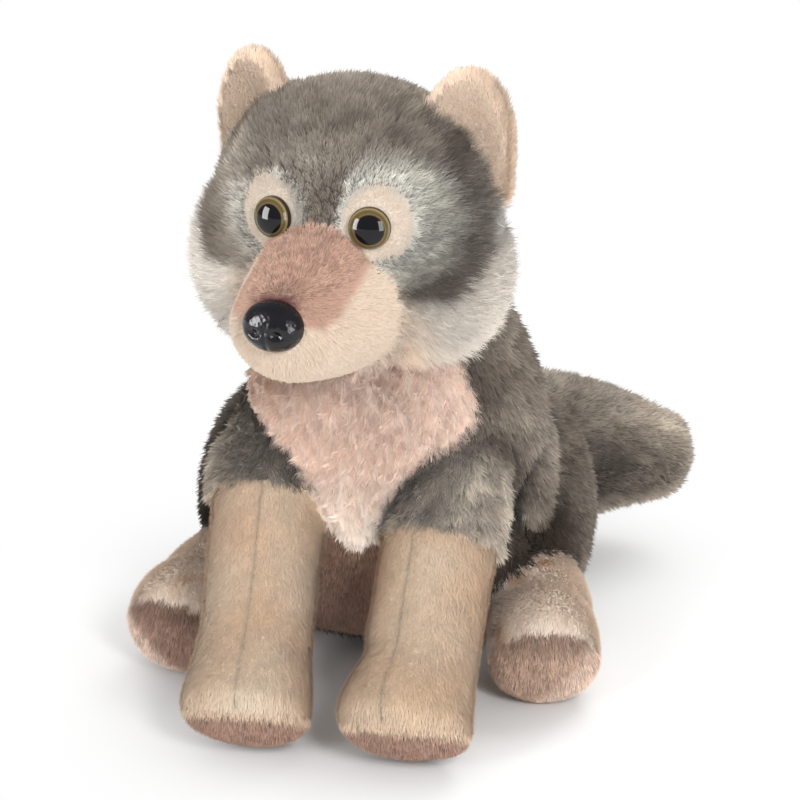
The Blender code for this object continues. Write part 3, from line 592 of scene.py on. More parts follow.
# %% Bib, legs, feet, soles and belly
every_corner = np.ones((len(places), 1))
down = (0.165 - places[:, 2]) / 0.09
bib_tips = np.clip(0.15 + 0.8 * ramp(0.40, 0.95, down) + 0.30 * fine, 0, 1)
coat = blended(coat, blended(ROSE * every_corner, (0.92, 0.85, 0.78), bib_tips), is_kind["bib"].astype(float))
limbs = is_kind["foreleg"] | is_kind["hind_foot"]
limb_tips = np.clip(0.25 + 0.35 * drift, 0, 1)
coat = blended(coat, blended(CREAM * every_corner, PALE, limb_tips), limbs.astype(float))
coat = np.where(is_kind["foreleg"][:, None], coat * (0.96, 0.94, 0.88), coat)
coat = np.where((is_kind["foreleg"] & (places[:, 0] < 0))[:, None], coat * (1.03, 1.06, 1.10), coat)
coat = scaled_on("foreleg", 1 + 0.07 * clump + 0.05 * fine)
coat = blended(coat, (0.95, 0.84, 0.74), is_kind["hind_foot"] * 0.75)
warm = ramp(0.15, 0.6, ripple(places, 75, 13.0)) * ramp(0.0, 0.010, 0.090 - np.abs(places[:, 0]))
coat = blended(coat, (0.70, 0.44, 0.26), is_kind["hind_foot"] * 0.75 * warm)
soles = is_kind["forepaw_sole"] | is_kind["hind_sole"]
leg_gap = np.minimum(gap_to("foreleg_left", places), gap_to("foreleg_right", places))
off_leg = ramp(0.0022, 0.0042, leg_gap)
coat = blended(coat, BROWN * 0.98, soles * np.where(is_kind["forepaw_sole"], off_leg, 1.0))
coat = np.where((is_kind["hind_sole"] & on_left)[:, None], coat * (1.38, 1.54, 1.56), coat)
coat = scaled_on("hind_sole", 1 - 0.30 * ramp(0.026, 0.036, places[:, 2]))
outward = np.abs(places[:, 0]) * 0.75 - places[:, 2] * 0.65 - (0.085 * 0.75 - 0.0238 * 0.65)
coat = blended(coat, (0.86, 0.66, 0.54), is_kind["hind_sole"] * ramp(0.0085, 0.0135, outward + 0.002 * wave))
coat = blended(coat, CREAM, is_kind["forepaw_sole"] * (1 - off_leg))
coat = blended(coat, BROWN * 0.9, is_kind["belly_panel"].astype(float))
print("cream corners on the limbs:", int(limbs.sum()), "brown ones on the soles:", int(soles.sum()))

# %% [markdown]
# ## Creases
#
# Where two stuffed panels press together hardly any light gets in, so painted shade darkens the pile there
# nearly to black. Panels that meet are listed in pairs, and a corner's gap to the other panel says how much
# shade is painted. On the left side the thigh's front edge also presses a furrow into the torso, down to the
# foot, and painted shade darkens the furrow too. Painted shadow darkens the haunch and torso above each foot.

# %% Painted shade in the creases and the furrow
FURROW = ((0.0765, -0.030, 0.131), (0.0775, -0.041, 0.122), (0.0765, -0.0496, 0.1135),
          (0.0734, -0.0579, 0.1021), (0.0699, -0.0606, 0.0908), (0.0676, -0.0591, 0.0779),
          (0.0685, -0.0550, 0.0700), (0.0737, -0.0432, 0.0621), (0.0802, -0.0331, 0.0584))
furrow_gap = gap_to_line(places + 0.0008 * wave[:, None], FURROW)
furrow = is_kind["torso"] * on_left * (1 - ramp(0.0022, 0.0080, furrow_gap))
PRESSED = (("torso", "haunch"), ("torso", "foreleg_sleeve"), ("foreleg_sleeve", "haunch"), ("tail", "haunch"),
           ("tail", "torso"), ("haunch", "hind_foot"), ("foreleg_sleeve", "bib"), ("torso", "bib"))
CREASE_REACH = 0.0150
crease = np.zeros(len(places))
for first, second in PRESSED:
    for kind, other in ((first, second), (second, first)):
        for node in (n for n in soft if kind_of(n) == other):
            near = np.zeros(len(places))
            near[is_kind[kind]] = 1 - ramp(0.0, CREASE_REACH, gap_to(node, places[is_kind[kind]]))
            crease = np.maximum(crease, near)
# How much painted shade each crease gets: less on the bib and the hind feet
shade_depth = crease * np.where(is_kind["bib"] | is_kind["hind_foot"], 0.25, 0.90)
behind_furrow = ramp(0.062, 0.075, places[:, 2]) * ramp(0.012, 0.030, furrow_gap)
shade_depth *= 1 - 0.55 * on_left * (is_kind["torso"] | is_kind["haunch"]) * behind_furrow
# Painted shade: creased pile is darkened towards near black
coat = blended(coat, coat * np.array((0.16, 0.13, 0.115)), shade_depth)
# Painted shade: the furrow on the torso's left side is painted nearly black
coat = blended(coat, (0.030, 0.026, 0.023), 0.92 * furrow)
# Painted shadow: the haunch and torso just above each hind foot, where the haunch shades the ankle
near_foot = np.minimum(gap_to("hind_foot_left", places), gap_to("hind_foot_right", places))
ankle_shadow = (is_kind["haunch"] | is_kind["torso"]) * (1 - ramp(0.012, 0.029, near_foot + 0.004 * fine))
ankle_shadow = ankle_shadow * ramp(0.034, 0.048, places[:, 2]) * (normals[:, 1] < 0.2)
ankle_shadow = ankle_shadow * (1 - 0.7 * ramp(0.080, 0.092, np.abs(places[:, 0])))
coat = blended(coat, (0.045, 0.030, 0.021), 0.88 * ankle_shadow)
coat = scaled_on("haunch", 1 + 0.45 * (1 - ramp(0.030, 0.050, places[:, 2])))
print("creased corners:", int((crease > 0).sum()), "mean coat colour:", coat.mean(0).round(3))

# %% [markdown]
# ## Combing
#
# Pile lies the way the cloth was cut: back from the nose over the face, down the chest and legs, and
# along the tail. Each corner gets a direction in the skin, and its length says how far strands lean.

# %% Combing directions
comb = np.tile(np.array((0.0, 0.25, -1.0)), (len(places), 1))
turn = np.array(to_body.to_3x3())
from_nose = (head - np.array((0.0, -0.075, -0.016))) @ turn.T
comb[on_head | muzzle] = from_nose[on_head | muzzle]
for sign, eye in ((1, "eye_left"), (-1, "eye_right")):
    mine = is_kind["eye_patch"] & (np.sign(head[:, 0]) == sign)
    comb[mine] = places[mine] - np.array(seats[eye].to_translation())
comb[is_kind["ear_lining"] | is_kind["ear_back"]] = (0.0, 0.0, 1.0)
limb_down = np.array((0.0, -0.65, -0.76))
comb[is_kind["foreleg"] | is_kind["foreleg_sleeve"]] = limb_down
comb[is_kind["hind_foot"]] = (0.0, -1.0, -0.25)
comb[soles] = (0.0, 0.1, -1.0)
swing = np.clip((places[:, 0] + 0.01) / 0.10, 0, 1)
tail_way = np.stack([0.25 + 0.75 * swing, 1.0 - 0.8 * swing, -0.15 + 0 * swing], 1)
comb[is_kind["tail"]] = tail_way[is_kind["tail"]]
comb -= normals * (comb * normals).sum(1, keepdims=True)
comb /= np.maximum(np.linalg.norm(comb, axis=1, keepdims=True), 1e-9)
comb *= lean[:, None]
print("combed", len(comb), "corners")

# %% Pile lengths near the face and the seams
eye_gap = np.minimum(gap_to("eye_left", places), gap_to("eye_right", places))
length *= np.where(on_head, 0.55 + 0.45 * ramp(0.004, 0.020, eye_gap), 1.0)
length *= np.where(on_head, 0.50 + 0.50 * ramp(-0.038, -0.022, head[:, 1]), 1.0)
length *= np.where(is_kind["eye_patch"], 0.35 + 0.65 * ramp(0.001, 0.006, eye_gap) / 0.55, 1.0)
length *= 1 - 0.35 * crease
length *= 1 - 0.60 * is_kind["torso"] * on_left * (1 - ramp(0.0040, 0.0110, furrow_gap))
shoulder = ramp(0.108, 0.132, places[:, 2]) * ramp(0.030, 0.050, -places[:, 0])
shoulder = (is_kind["foreleg_sleeve"] | is_kind["torso"]) * shoulder
bib_side = is_kind["bib"] * ramp(0.020, 0.045, -places[:, 0])
length *= 1 - 0.60 * shoulder - 0.40 * bib_side
sink = sink + 0.0080 * shoulder + 0.0020 * bib_side
length *= np.where(muzzle, 0.45 + 0.55 * ramp(0.001, 0.006, nose_gap), 1.0)
length *= 0.35 + 0.65 * ramp(0.001, 0.014, places[:, 2])
bare = (eye_gap < 0.0012) | (nose_gap < 0.0010) | ((places[:, 2] < 0.0012) & (normals[:, 2] < -0.5))
print("pile from", round(float(length.min()) * 1000, 1), "to", round(float(length.max()) * 1000, 1), "mm")

# %% [markdown]
# ## Materials
#
# A strand is darker at its root, where light hardly reaches, and neighbours differ a little. One node
# group mixes that tone from the coat colour painted on the skin, and each plush uses it with its own
# values. The cloth under the pile uses it too, so bare spots never flash.

# %% Shared node groups
def tone_group():
    """Coat colour, place along the strand and the strand's own shade in; the strand's colour out."""
    group = bpy.data.node_groups.new("strand tone", "ShaderNodeTree")
    coat_in = group.interface.new_socket("Coat", in_out="INPUT", socket_type="NodeSocketColor")
    coat_in.default_value = (0.5, 0.5, 0.5, 1)
    for name, value in (("Along", 1.0), ("Shade", 0.5), ("Root tone", 0.5), ("Contrast", 0.4)):
        socket = group.interface.new_socket(name, in_out="INPUT", socket_type="NodeSocketFloat")
        socket.default_value = value
    group.interface.new_socket("Color", in_out="OUTPUT", socket_type="NodeSocketColor")
    new, links = group.nodes.new, group.links
    given, made = new("NodeGroupInput"), new("NodeGroupOutput")
    along = new("ShaderNodeMapRange")
    along.inputs["From Max"].default_value = 0.8
    spread = new("ShaderNodeMapRange")
    spread.inputs["To Min"].default_value = -0.5
    spread.inputs["To Max"].default_value = 0.5
    swing = new("ShaderNodeMath")
    swing.operation = "MULTIPLY_ADD"
    swing.inputs[2].default_value = 1.0
    strength = new("ShaderNodeMath")
    strength.operation = "MULTIPLY"
    scaled = new("ShaderNodeVectorMath")
    scaled.operation = "SCALE"
    links.new(given.outputs["Along"], along.inputs["Value"])
    links.new(given.outputs["Root tone"], along.inputs["To Min"])
    links.new(given.outputs["Shade"], spread.inputs["Value"])
    links.new(spread.outputs[0], swing.inputs[0])
    links.new(given.outputs["Contrast"], swing.inputs[1])
    links.new(along.outputs[0], strength.inputs[0])
    links.new(swing.outputs[0], strength.inputs[1])
    links.new(given.outputs["Coat"], scaled.inputs[0])
    links.new(strength.outputs[0], scaled.inputs["Scale"])
    links.new(scaled.outputs[0], made.inputs["Color"])
    return group


def moulding_group():
    """Faint unevenness of moulded plastic: a height for bump and a mask for roughness."""
    group = bpy.data.node_groups.new("moulded grain", "ShaderNodeTree")
    for name, value in (("Scale", 900.0), ("Strength", 1.0)):
        socket = group.interface.new_socket(name, in_out="INPUT", socket_type="NodeSocketFloat")
        socket.default_value = value
    for name in ("Height", "Mask"):
        group.interface.new_socket(name, in_out="OUTPUT", socket_type="NodeSocketFloat")
    new, links = group.nodes.new, group.links
    given, made = new("NodeGroupInput"), new("NodeGroupOutput")
    place = new("ShaderNodeTexCoord")
    pores = new("ShaderNodeTexVoronoi")
    cloud = new("ShaderNodeTexNoise")
    cloud.inputs["Scale"].default_value = 160
    cloud.inputs["Detail"].default_value = 3
    height = new("ShaderNodeMath")
    height.operation = "MULTIPLY"
    links.new(place.outputs["Object"], pores.inputs["Vector"])
    links.new(place.outputs["Object"], cloud.inputs["Vector"])
    links.new(given.outputs["Scale"], pores.inputs["Scale"])
    links.new(pores.outputs["Distance"], height.inputs[0])
    links.new(given.outputs["Strength"], height.inputs[1])
    links.new(height.outputs[0], made.inputs["Height"])
    links.new(cloud.outputs[0], made.inputs["Mask"])
    return group


STRAND_TONE = tone_group()
MOULDING = moulding_group()
print("node groups:", STRAND_TONE.name, MOULDING.name)

# %% Plush materials
def attribute(tree, name, output="Fac"):
    """An Attribute node's output."""
    node = tree.nodes.new("ShaderNodeAttribute")
    node.attribute_name = name
    return node.outputs[output]


def plush(name, root_tone, contrast, roughness, sheen):
    """Strands of one plush."""
    made = bpy.data.materials.new(name)
    made.use_nodes = True
    tree = made.node_tree
    fibre = tree.nodes["Principled BSDF"]
    fibre.inputs["Roughness"].default_value = roughness
    fibre.inputs["Specular IOR Level"].default_value = 0.25
    fibre.inputs["Sheen Weight"].default_value = sheen
    fibre.inputs["Sheen Roughness"].default_value = 0.5
    tone = tree.nodes.new("ShaderNodeGroup")
    tone.node_tree = STRAND_TONE
    tone.inputs["Root tone"].default_value = root_tone
    tone.inputs["Contrast"].default_value = contrast
    tree.links.new(attribute(tree, "coat", "Color"), tone.inputs["Coat"])
    tree.links.new(attribute(tree, "along"), tone.inputs["Along"])
    tree.links.new(attribute(tree, "shade"), tone.inputs["Shade"])
    tree.links.new(tone.outputs["Color"], fibre.inputs["Base Color"])
    return made


def backing(name, shade_depth, bump):
    """The cloth that a plush's strands grow from, in the coat's colour, mottled like packed strands."""
    made = bpy.data.materials.new(name)
    made.use_nodes = True
    tree = made.node_tree
    cloth = tree.nodes["Principled BSDF"]
    cloth.inputs["Roughness"].default_value = 0.95
    cloth.inputs["Specular IOR Level"].default_value = 0.1
    place = tree.nodes.new("ShaderNodeTexCoord")
    pile = tree.nodes.new("ShaderNodeTexNoise")
    pile.inputs["Scale"].default_value = 900
    pile.inputs["Detail"].default_value = 2
    tone = tree.nodes.new("ShaderNodeGroup")
    tone.node_tree = STRAND_TONE
    # Painted shade: the cloth is darker than the coat, as deep under the pile
    tone.inputs["Root tone"].default_value = shade_depth
    tone.inputs["Along"].default_value = 0.0
    tone.inputs["Contrast"].default_value = 0.7
    rough = tree.nodes.new("ShaderNodeBump")
    rough.inputs["Strength"].default_value = bump
    rough.inputs["Distance"].default_value = 0.0006
    tree.links.new(place.outputs["Object"], pile.inputs["Vector"])
    # Painted shade: the cloth darkens near a seam, where it dips
    near = tree.nodes.new("ShaderNodeMapRange")
    near.inputs["From Max"].default_value = 0.0020
    near.inputs["To Min"].default_value = 0.62
    size = tree.nodes.new("ShaderNodeMath")
    size.operation = "ABSOLUTE"
    dark = tree.nodes.new("ShaderNodeVectorMath")
    dark.operation = "SCALE"
    tree.links.new(attribute(tree, "seam"), size.inputs[0])
    tree.links.new(size.outputs[0], near.inputs["Value"])
    tree.links.new(attribute(tree, "coat", "Color"), dark.inputs[0])
    tree.links.new(near.outputs[0], dark.inputs["Scale"])
    tree.links.new(dark.outputs[0], tone.inputs["Coat"])
    tree.links.new(pile.outputs[0], tone.inputs["Shade"])
    tree.links.new(tone.outputs["Color"], cloth.inputs["Base Color"])
    tree.links.new(pile.outputs[0], rough.inputs["Height"])
    tree.links.new(rough.outputs[0], cloth.inputs["Normal"])
    return made


LOOKS = {
    LONG: (plush("long pile", 0.36, 0.85, 0.72, 0.15), backing("long pile cloth", 0.36, 0.8)),
    FLUFF: (plush("fluffy pile", 0.72, 0.30, 0.78, 0.15), backing("fluffy pile cloth", 0.66, 0.6)),
    SHORT: (plush("short pile", 0.84, 0.18, 0.80, 0.15), backing("short pile cloth", 0.88, 0.5)),
    BROWN_PILE: (plush("brown pile", 0.62, 0.95, 0.80, 0.15), backing("brown pile cloth", 0.70, 0.5)),
}
print("plush materials:", [look.name for pair in LOOKS.values() for look in pair])

# %% [markdown]
# ## Growing the pile
#
# Hundreds of thousands of strands are never modelled by hand. A Geometry Nodes tree scatters points on a
# panel, leans a small blade over each by the combing, pulls blades together into tufts and varies their
# lengths. Each blade takes its light from the cloth below it, which is what makes real pile look soft. The
# result is turned into a plain mesh, so nothing is left live.

# %% Blades
def blade(name, corners, faces):
    """One strand of unit size: z along it, x across it, y away from the cloth."""
    mesh = bpy.data.meshes.new(name)
    mesh.from_pydata([(x, y, z) for x, y, z in corners], [], faces)
    layers = {"along": [z for _, _, z in corners], "across": [x + 0.5 for x, _, _ in corners]}
    for label, values in layers.items():
        layer = mesh.attributes.new(label, "FLOAT", "POINT")
        layer.data.foreach_set("value", np.array(values, np.float32))
    made = bpy.data.objects.new(name, mesh)
    bpy.context.scene.collection.objects.link(made)
    return made


BLADES = {
    LONG: blade("long blade", [(-0.5, 0, 0), (0.5, 0, 0), (0.40, -0.02, 0.58), (-0.05, -0.20, 1.0)],
                [(0, 1, 2), (0, 2, 3)]),
    SHORT: blade("short blade", [(-0.5, 0, 0), (0.5, 0, 0), (0.08, -0.10, 1.0)], [(0, 1, 2)]),
}
BLADES[FLUFF], BLADES[BROWN_PILE] = BLADES[LONG], BLADES[SHORT]
print("blades:", {kind: len(made.data.polygons) for kind, made in BLADES.items()})


# %% The pile tree
PARTING = 0.0014
FLOOR_GAP = 0.0002


def pile_tree():
    """Scatters, leans, tufts and realizes strands."""
    group = bpy.data.node_groups.new("pile", "GeometryNodeTree")
    group.interface.new_socket("Geometry", in_out="INPUT", socket_type="NodeSocketGeometry")
    for name, kind in (("Blade", "NodeSocketObject"), ("Material", "NodeSocketMaterial")):
        group.interface.new_socket(name, in_out="INPUT", socket_type=kind)
    for name, value in (("Width", 0.0005), ("Tuft size", 0.005), ("Tufting", 0.8), ("Jitter", 0.35),
                        ("Cells", 500.0), ("Softness", 0.35)):
        socket = group.interface.new_socket(name, in_out="INPUT", socket_type="NodeSocketFloat")
        socket.default_value = value
    socket = group.interface.new_socket("Seed", in_out="INPUT", socket_type="NodeSocketInt")
    socket.default_value = 7
    group.interface.new_socket("Geometry", in_out="OUTPUT", socket_type="NodeSocketGeometry")
    new, link = group.nodes.new, group.links.new
    given, made = new("NodeGroupInput"), new("NodeGroupOutput")

    def field(name, kind="FLOAT"):
        node = new("GeometryNodeInputNamedAttribute")
        node.data_type = kind
        node.inputs["Name"].default_value = name
        return node.outputs["Attribute"]

    def maths(operation, *values):
        node = new("ShaderNodeMath")
        node.operation = operation
        for socket, value in zip(node.inputs, values):
            if isinstance(value, (int, float)):
                socket.default_value = value
            else:
                link(value, socket)
        return node.outputs[0]

    def vectors(operation, *values):
        node = new("ShaderNodeVectorMath")
        node.operation = operation
        for socket, value in zip(node.inputs, values):
            if isinstance(value, tuple):
                socket.default_value = value
            else:
                link(value, socket)
        return node.outputs[0]

    def scaled(vector, factor):
        node = new("ShaderNodeVectorMath")
        node.operation = "SCALE"
        link(vector, node.inputs[0])
        if isinstance(factor, (int, float)):
            node.inputs["Scale"].default_value = factor
        else:
            link(factor, node.inputs["Scale"])
        return node.outputs[0]

    def chance(kind, low, high, offset):
        node = new("FunctionNodeRandomValue")
        node.data_type = kind
        sockets = [s for s in node.inputs if s.enabled and s.name in ("Min", "Max")]
        sockets[0].default_value, sockets[1].default_value = low, high
        link(maths("ADD", given.outputs["Seed"], offset), node.inputs["Seed"])
        return [s for s in node.outputs if s.enabled][0]

    def stored(geometry, name, kind, value, domain="POINT"):
        node = new("GeometryNodeStoreNamedAttribute")
        node.data_type = kind
        node.domain = domain
        node.inputs["Name"].default_value = name
        link(geometry, node.inputs["Geometry"])
        link(value, node.inputs["Value"])
        return node.outputs["Geometry"]

    scatter = new("GeometryNodeDistributePointsOnFaces")
    link(given.outputs["Geometry"], scatter.inputs["Mesh"])
    link(field("strands"), scatter.inputs["Density"])
    link(given.outputs["Seed"], scatter.inputs["Seed"])
    up = scatter.outputs["Normal"]
    here = new("GeometryNodeInputPosition").outputs[0]
    cell = new("ShaderNodeTexVoronoi")
    link(here, cell.inputs["Vector"])
    link(maths("DIVIDE", 1.0, given.outputs["Tuft size"]), cell.inputs["Scale"])
    reach = maths("MULTIPLY", field("pile"), chance("FLOAT", 0.72, 1.08, 1))
    pull = scaled(vectors("SUBTRACT", cell.outputs["Position"], here),
                  maths("DIVIDE", given.outputs["Tufting"], maths("MAXIMUM", field("pile"), 0.002)))
    stray = scaled(chance("FLOAT_VECTOR", (-1, -1, -1), (1, 1, 1), 2), given.outputs["Jitter"])
    off_seam = maths("DIVIDE", maths("ABSOLUTE", field("seam")), PARTING)
    beside = maths("SUBTRACT", 1.0, maths("MINIMUM", off_seam, 1.0))
    parted = new("ShaderNodeCombineXYZ")
    sideways = maths("MULTIPLY", maths("SIGN", field("seam")), beside)
    link(maths("MULTIPLY", sideways, 0.5), parted.inputs[0])
    stray = vectors("ADD", stray, parted.outputs[0])
    reach = maths("MULTIPLY", reach, maths("SUBTRACT", 1.0, maths("MULTIPLY", beside, 0.30)))
    way = vectors("NORMALIZE", vectors("ADD", vectors("ADD", up, field("comb", "FLOAT_VECTOR")),
                                       vectors("ADD", pull, stray)))
    waver = scaled(chance("FLOAT_VECTOR", (-1, -1, -1), (1, 1, 1), 3), given.outputs["Softness"])
    soft_light = vectors("NORMALIZE", vectors("ADD", up, waver))
    along_way = new("FunctionNodeAlignRotationToVector")
    along_way.axis = "Z"
    link(way, along_way.inputs["Vector"])
    faced = new("FunctionNodeAlignRotationToVector")
    faced.axis = "Y"
    faced.pivot_axis = "Z"
    link(along_way.outputs[0], faced.inputs["Rotation"])
    link(up, faced.inputs["Vector"])
    points = stored(scatter.outputs["Points"], "light", "FLOAT_VECTOR", soft_light)
    tuft_shade = new("ShaderNodeSeparateXYZ")
    link(cell.outputs["Color"], tuft_shade.inputs[0])
    own = maths("ADD", maths("MULTIPLY", chance("FLOAT", 0.0, 1.0, 4), 0.6),
                maths("MULTIPLY", tuft_shade.outputs[0], 0.4))
    points = stored(points, "shade", "FLOAT", own)
    # Painted shade: strands beside a seam are darkened
    seam_shade = maths("SUBTRACT", 1.0, maths("MULTIPLY", beside, 0.26))
    points = stored(points, "coat", "FLOAT_COLOR", scaled(field("coat", "FLOAT_COLOR"), seam_shade))
    points = stored(points, "number", "FLOAT", new("GeometryNodeInputIndex").outputs[0])
    size = new("ShaderNodeCombineXYZ")
    link(given.outputs["Width"], size.inputs[0])
    link(reach, size.inputs[1])
    link(reach, size.inputs[2])
    source = new("GeometryNodeObjectInfo")
    link(given.outputs["Blade"], source.inputs["Object"])
    plant = new("GeometryNodeInstanceOnPoints")
    link(points, plant.inputs["Points"])
    link(source.outputs["Geometry"], plant.inputs["Instance"])
    link(faced.outputs[0], plant.inputs["Rotation"])
    link(size.outputs[0], plant.inputs["Scale"])
    real = new("GeometryNodeRealizeInstances")
    link(plant.outputs[0], real.inputs[0])
    spot = new("ShaderNodeSeparateXYZ")
    link(new("GeometryNodeInputPosition").outputs[0], spot.inputs[0])
    kept = new("ShaderNodeCombineXYZ")
    for axis in (0, 1):
        link(spot.outputs[axis], kept.inputs[axis])
    link(maths("MAXIMUM", spot.outputs[2], FLOOR_GAP), kept.inputs[2])
    floored = new("GeometryNodeSetPosition")
    link(real.outputs[0], floored.inputs["Geometry"])
    link(kept.outputs[0], floored.inputs["Position"])
    lit = new("GeometryNodeSetMeshNormal")
    lit.mode = "FREE"
    link(floored.outputs[0], lit.inputs["Mesh"])
    link(field("light", "FLOAT_VECTOR"), lit.inputs["Custom Normal"])
    number, cells = field("number"), given.outputs["Cells"]
    column = maths("MODULO", number, cells)
    row = maths("FLOOR", maths("DIVIDE", number, cells))
    u = maths("DIVIDE", maths("ADD", column, maths("MULTIPLY_ADD", field("across"), 0.8, 0.1)), cells)
    v = maths("DIVIDE", maths("ADD", row, maths("MULTIPLY_ADD", field("along"), 0.8, 0.1)), cells)
    sheet = new("ShaderNodeCombineXYZ")
    link(u, sheet.inputs[0])
    link(v, sheet.inputs[1])
    mapped = stored(lit.outputs[0], "OFBake", "FLOAT2", sheet.outputs[0], "CORNER")
    finish = new("GeometryNodeSetMaterial")
    link(mapped, finish.inputs["Geometry"])
    link(given.outputs["Material"], finish.inputs["Material"])
    link(finish.outputs[0], made.inputs[0])
    return group


PILE_TREE = pile_tree()
SOCKETS = {item.name: item.identifier for item in PILE_TREE.interface.items_tree if item.in_out == "INPUT"}
print("pile tree inputs:", list(SOCKETS))

# %% [markdown]
# ## Seams and folds
#
# A seam runs down the front of each foreleg, where the pile parts and the cloth dips. Above each paw the
# stuffing is pressed into a fold, and the paw swells out below it. The thigh's furrow and a fold across
# each hind foot are made the same way. These are moves of a few millimetres along the cloth's normal.

# %% Leg seams and folds
LEGS = {1: ((0.0412, -0.062, 0.132), (0.0371, -0.163, 0.0225)),
        -1: ((-0.0388, -0.062, 0.132), (-0.0339, -0.163, 0.0225))}
SEAM_SHIFT = {1: -0.0075, -1: 0.0005}
seam = np.full(len(places), 1.0)
folds = np.zeros(len(places))
legs = is_kind["foreleg"] | is_kind["forepaw_sole"] | is_kind["foreleg_sleeve"]
for sign, (top_end, paw_end) in LEGS.items():
    top_end, paw_end = np.array(top_end), np.array(paw_end)
    leg_length = np.linalg.norm(paw_end - top_end)
    axis = (paw_end - top_end) / leg_length
    up_leg = -(places - paw_end) @ axis
    line = paw_end[0] + (top_end[0] - paw_end[0]) * up_leg / leg_length + SEAM_SHIFT[sign]
    mine = legs & (np.sign(places[:, 0]) == sign)
    front = mine & (normals[:, 1] < -0.15) & is_kind["foreleg"]
    seam = np.where(front, places[:, 0] - line, seam)
    folds -= 0.0009 * front * np.exp(-((places[:, 0] - line) / 0.0026) ** 2)
    inward = np.clip(-normals[:, 0] * sign * 0.8 - normals[:, 1] * 0.5 + normals[:, 2] * 0.2, 0, 1) * mine
    swell, press = (0.0036, 0.0022) if sign > 0 else (0.0014, 0.0007)
    folds += inward * swell * np.exp(-((up_leg - 0.008) / 0.014) ** 2)
    folds -= inward * press * np.exp(-((up_leg - 0.032) / 0.0055) ** 2)
    folds += 0.0010 * mine * ripple(places * (1, 1, 1.5), 42, 30.0 + sign)
folds -= 0.0042 * is_kind["torso"] * on_left * np.exp(-(furrow_gap / 0.0042) ** 2)
for sign in (1, -1):
    heel = np.array((0.085 * sign, -0.086, 0.0233))
    way = np.array((-0.208 * sign, 0.978, 0.0))
    mine = is_kind["hind_foot"] & (np.sign(places[:, 0]) == sign)
    back = (places - heel) @ way + 0.004 * ripple(places, 60, 50.0)
    top = np.clip(normals[:, 2] * 0.9 + 0.35, 0, 1) * mine
    folds += top * 0.0016 * np.exp(-((back - 0.010) / 0.009) ** 2)
    folds -= top * 0.0030 * np.exp(-((back - 0.027) / 0.0045) ** 2)
    folds += 0.0007 * mine * ripple(places, 55, 60.0)
print("folds move the skin by", (folds.min() * 1000).round(2), "to", (folds.max() * 1000).round(2), "mm")

# %% [markdown]
# ## Cutting the skin into panels
#
# The stuffed skin is now sunk by its pile's share, softened a little and cut into one panel for each
# solid it stands for. Then each panel grows its pile.

# %% Sink and soften the skin
shifted = places + stuffing * ramp(0.0, 0.004, places[:, 2])[:, None] + normals * (folds - sink)[:, None]
shifted[:, 2] = np.maximum(shifted[:, 2], 0.0004)
for vertex, point in zip(skin.vertices, shifted):
    vertex.co = point
bm = bmesh.new()
bm.from_mesh(skin)
bm.verts.ensure_lookup_table()
feet = [bm.verts[index] for index in np.flatnonzero(is_kind["hind_foot"])]
every_axis = {"use_axis_x": True, "use_axis_y": True, "use_axis_z": True}
for verts, rounds, factor in ((bm.verts[:], 3, 0.4), (feet, 10, 0.5)):
    for _ in range(rounds):
        bmesh.ops.smooth_vert(bm, verts=verts, factor=factor, **every_axis)
bmesh.ops.recalc_face_normals(bm, faces=bm.faces)
bm.to_mesh(skin)
bm.free()
skin.update()
print("skin softened")

# %% Panels and their pile
STRAND_WIDTH = {LONG: 0.00053, FLUFF: 0.00046, SHORT: 0.00057, BROWN_PILE: 0.00046}
VELVET_TUFT = 0.0022
TUFT_SIZE = {"bib": 0.0062, "tail": 0.0045, "torso": 0.0050, "haunch": 0.0050, "foreleg_sleeve": 0.0050,
             "head_crown": 0.0038, "cheek": 0.0042}
PER_SQUARE_METRE = 1e6
density = per_corner(STRANDS).astype(float) * PER_SQUARE_METRE * ~bare
layers = {"seam": ("FLOAT", seam), "pile": ("FLOAT", length), "strands": ("FLOAT", density),
          "comb": ("FLOAT_VECTOR", comb),
          "coat": ("FLOAT_COLOR", np.hstack([np.clip(coat, 0, 1), np.ones((len(coat), 1))]))}
corner_ids = np.array([list(p.vertices) + [-1] * (4 - len(p.vertices)) for p in skin.polygons])
face_owner = owner[corner_ids[:, 0]]


def panel(index):
    """The part of the skin that stands for one solid, with its painted layers."""
    faces = corner_ids[face_owner == index]
    used = np.unique(faces[faces >= 0])
    where = {old: new for new, old in enumerate(used)}
    mesh = bpy.data.meshes.new(soft[index] + "_cloth")
    co = points_of(skin)[used]
    mesh.from_pydata(co.tolist(), [], [[where[k] for k in face if k >= 0] for face in faces])
    for name, (kind, values) in layers.items():
        layer = mesh.attributes.new(name, kind, "POINT")
        field = {"FLOAT": "value", "FLOAT_VECTOR": "vector", "FLOAT_COLOR": "color"}[kind]
        layer.data.foreach_set(field, values[used].astype(np.float32).ravel())
    mesh.shade_smooth()
    made = bpy.data.objects.new(mesh.name, mesh)
    bpy.context.scene.collection.objects.link(made)
    return made


def pile_of(cloth, kind, node, seed):
    """The strands of one panel as a plain mesh."""
    grower = cloth.modifiers.new("pile", "NODES")
    grower.node_group = PILE_TREE
    tufting = PILE[kind_of(node)][TUFTING]
    loose = kind in (LONG, FLUFF)
    wanted = {"Blade": BLADES[kind], "Material": LOOKS[kind][0], "Seed": seed, "Tufting": tufting,
              "Width": STRAND_WIDTH[kind], "Tuft size": TUFT_SIZE.get(kind_of(node), VELVET_TUFT),
              "Jitter": 0.36 if loose else 0.32, "Cells": 450.0, "Softness": 0.42 if loose else 0.35}
    for name, value in wanted.items():
        grower[SOCKETS[name]] = value
    bpy.context.view_layer.update()
    mesh = bpy.data.meshes.new_from_object(cloth.evaluated_get(bpy.context.evaluated_depsgraph_get()))
    cloth.modifiers.remove(grower)
    for name in ("seam", "pile", "strands", "comb", "light", "number", "across"):
        if name in mesh.attributes:
            mesh.attributes.remove(mesh.attributes[name])
    made = bpy.data.objects.new(node + "_pile", mesh)
    mesh.name = made.name
    bpy.context.scene.collection.objects.link(made)
    return made


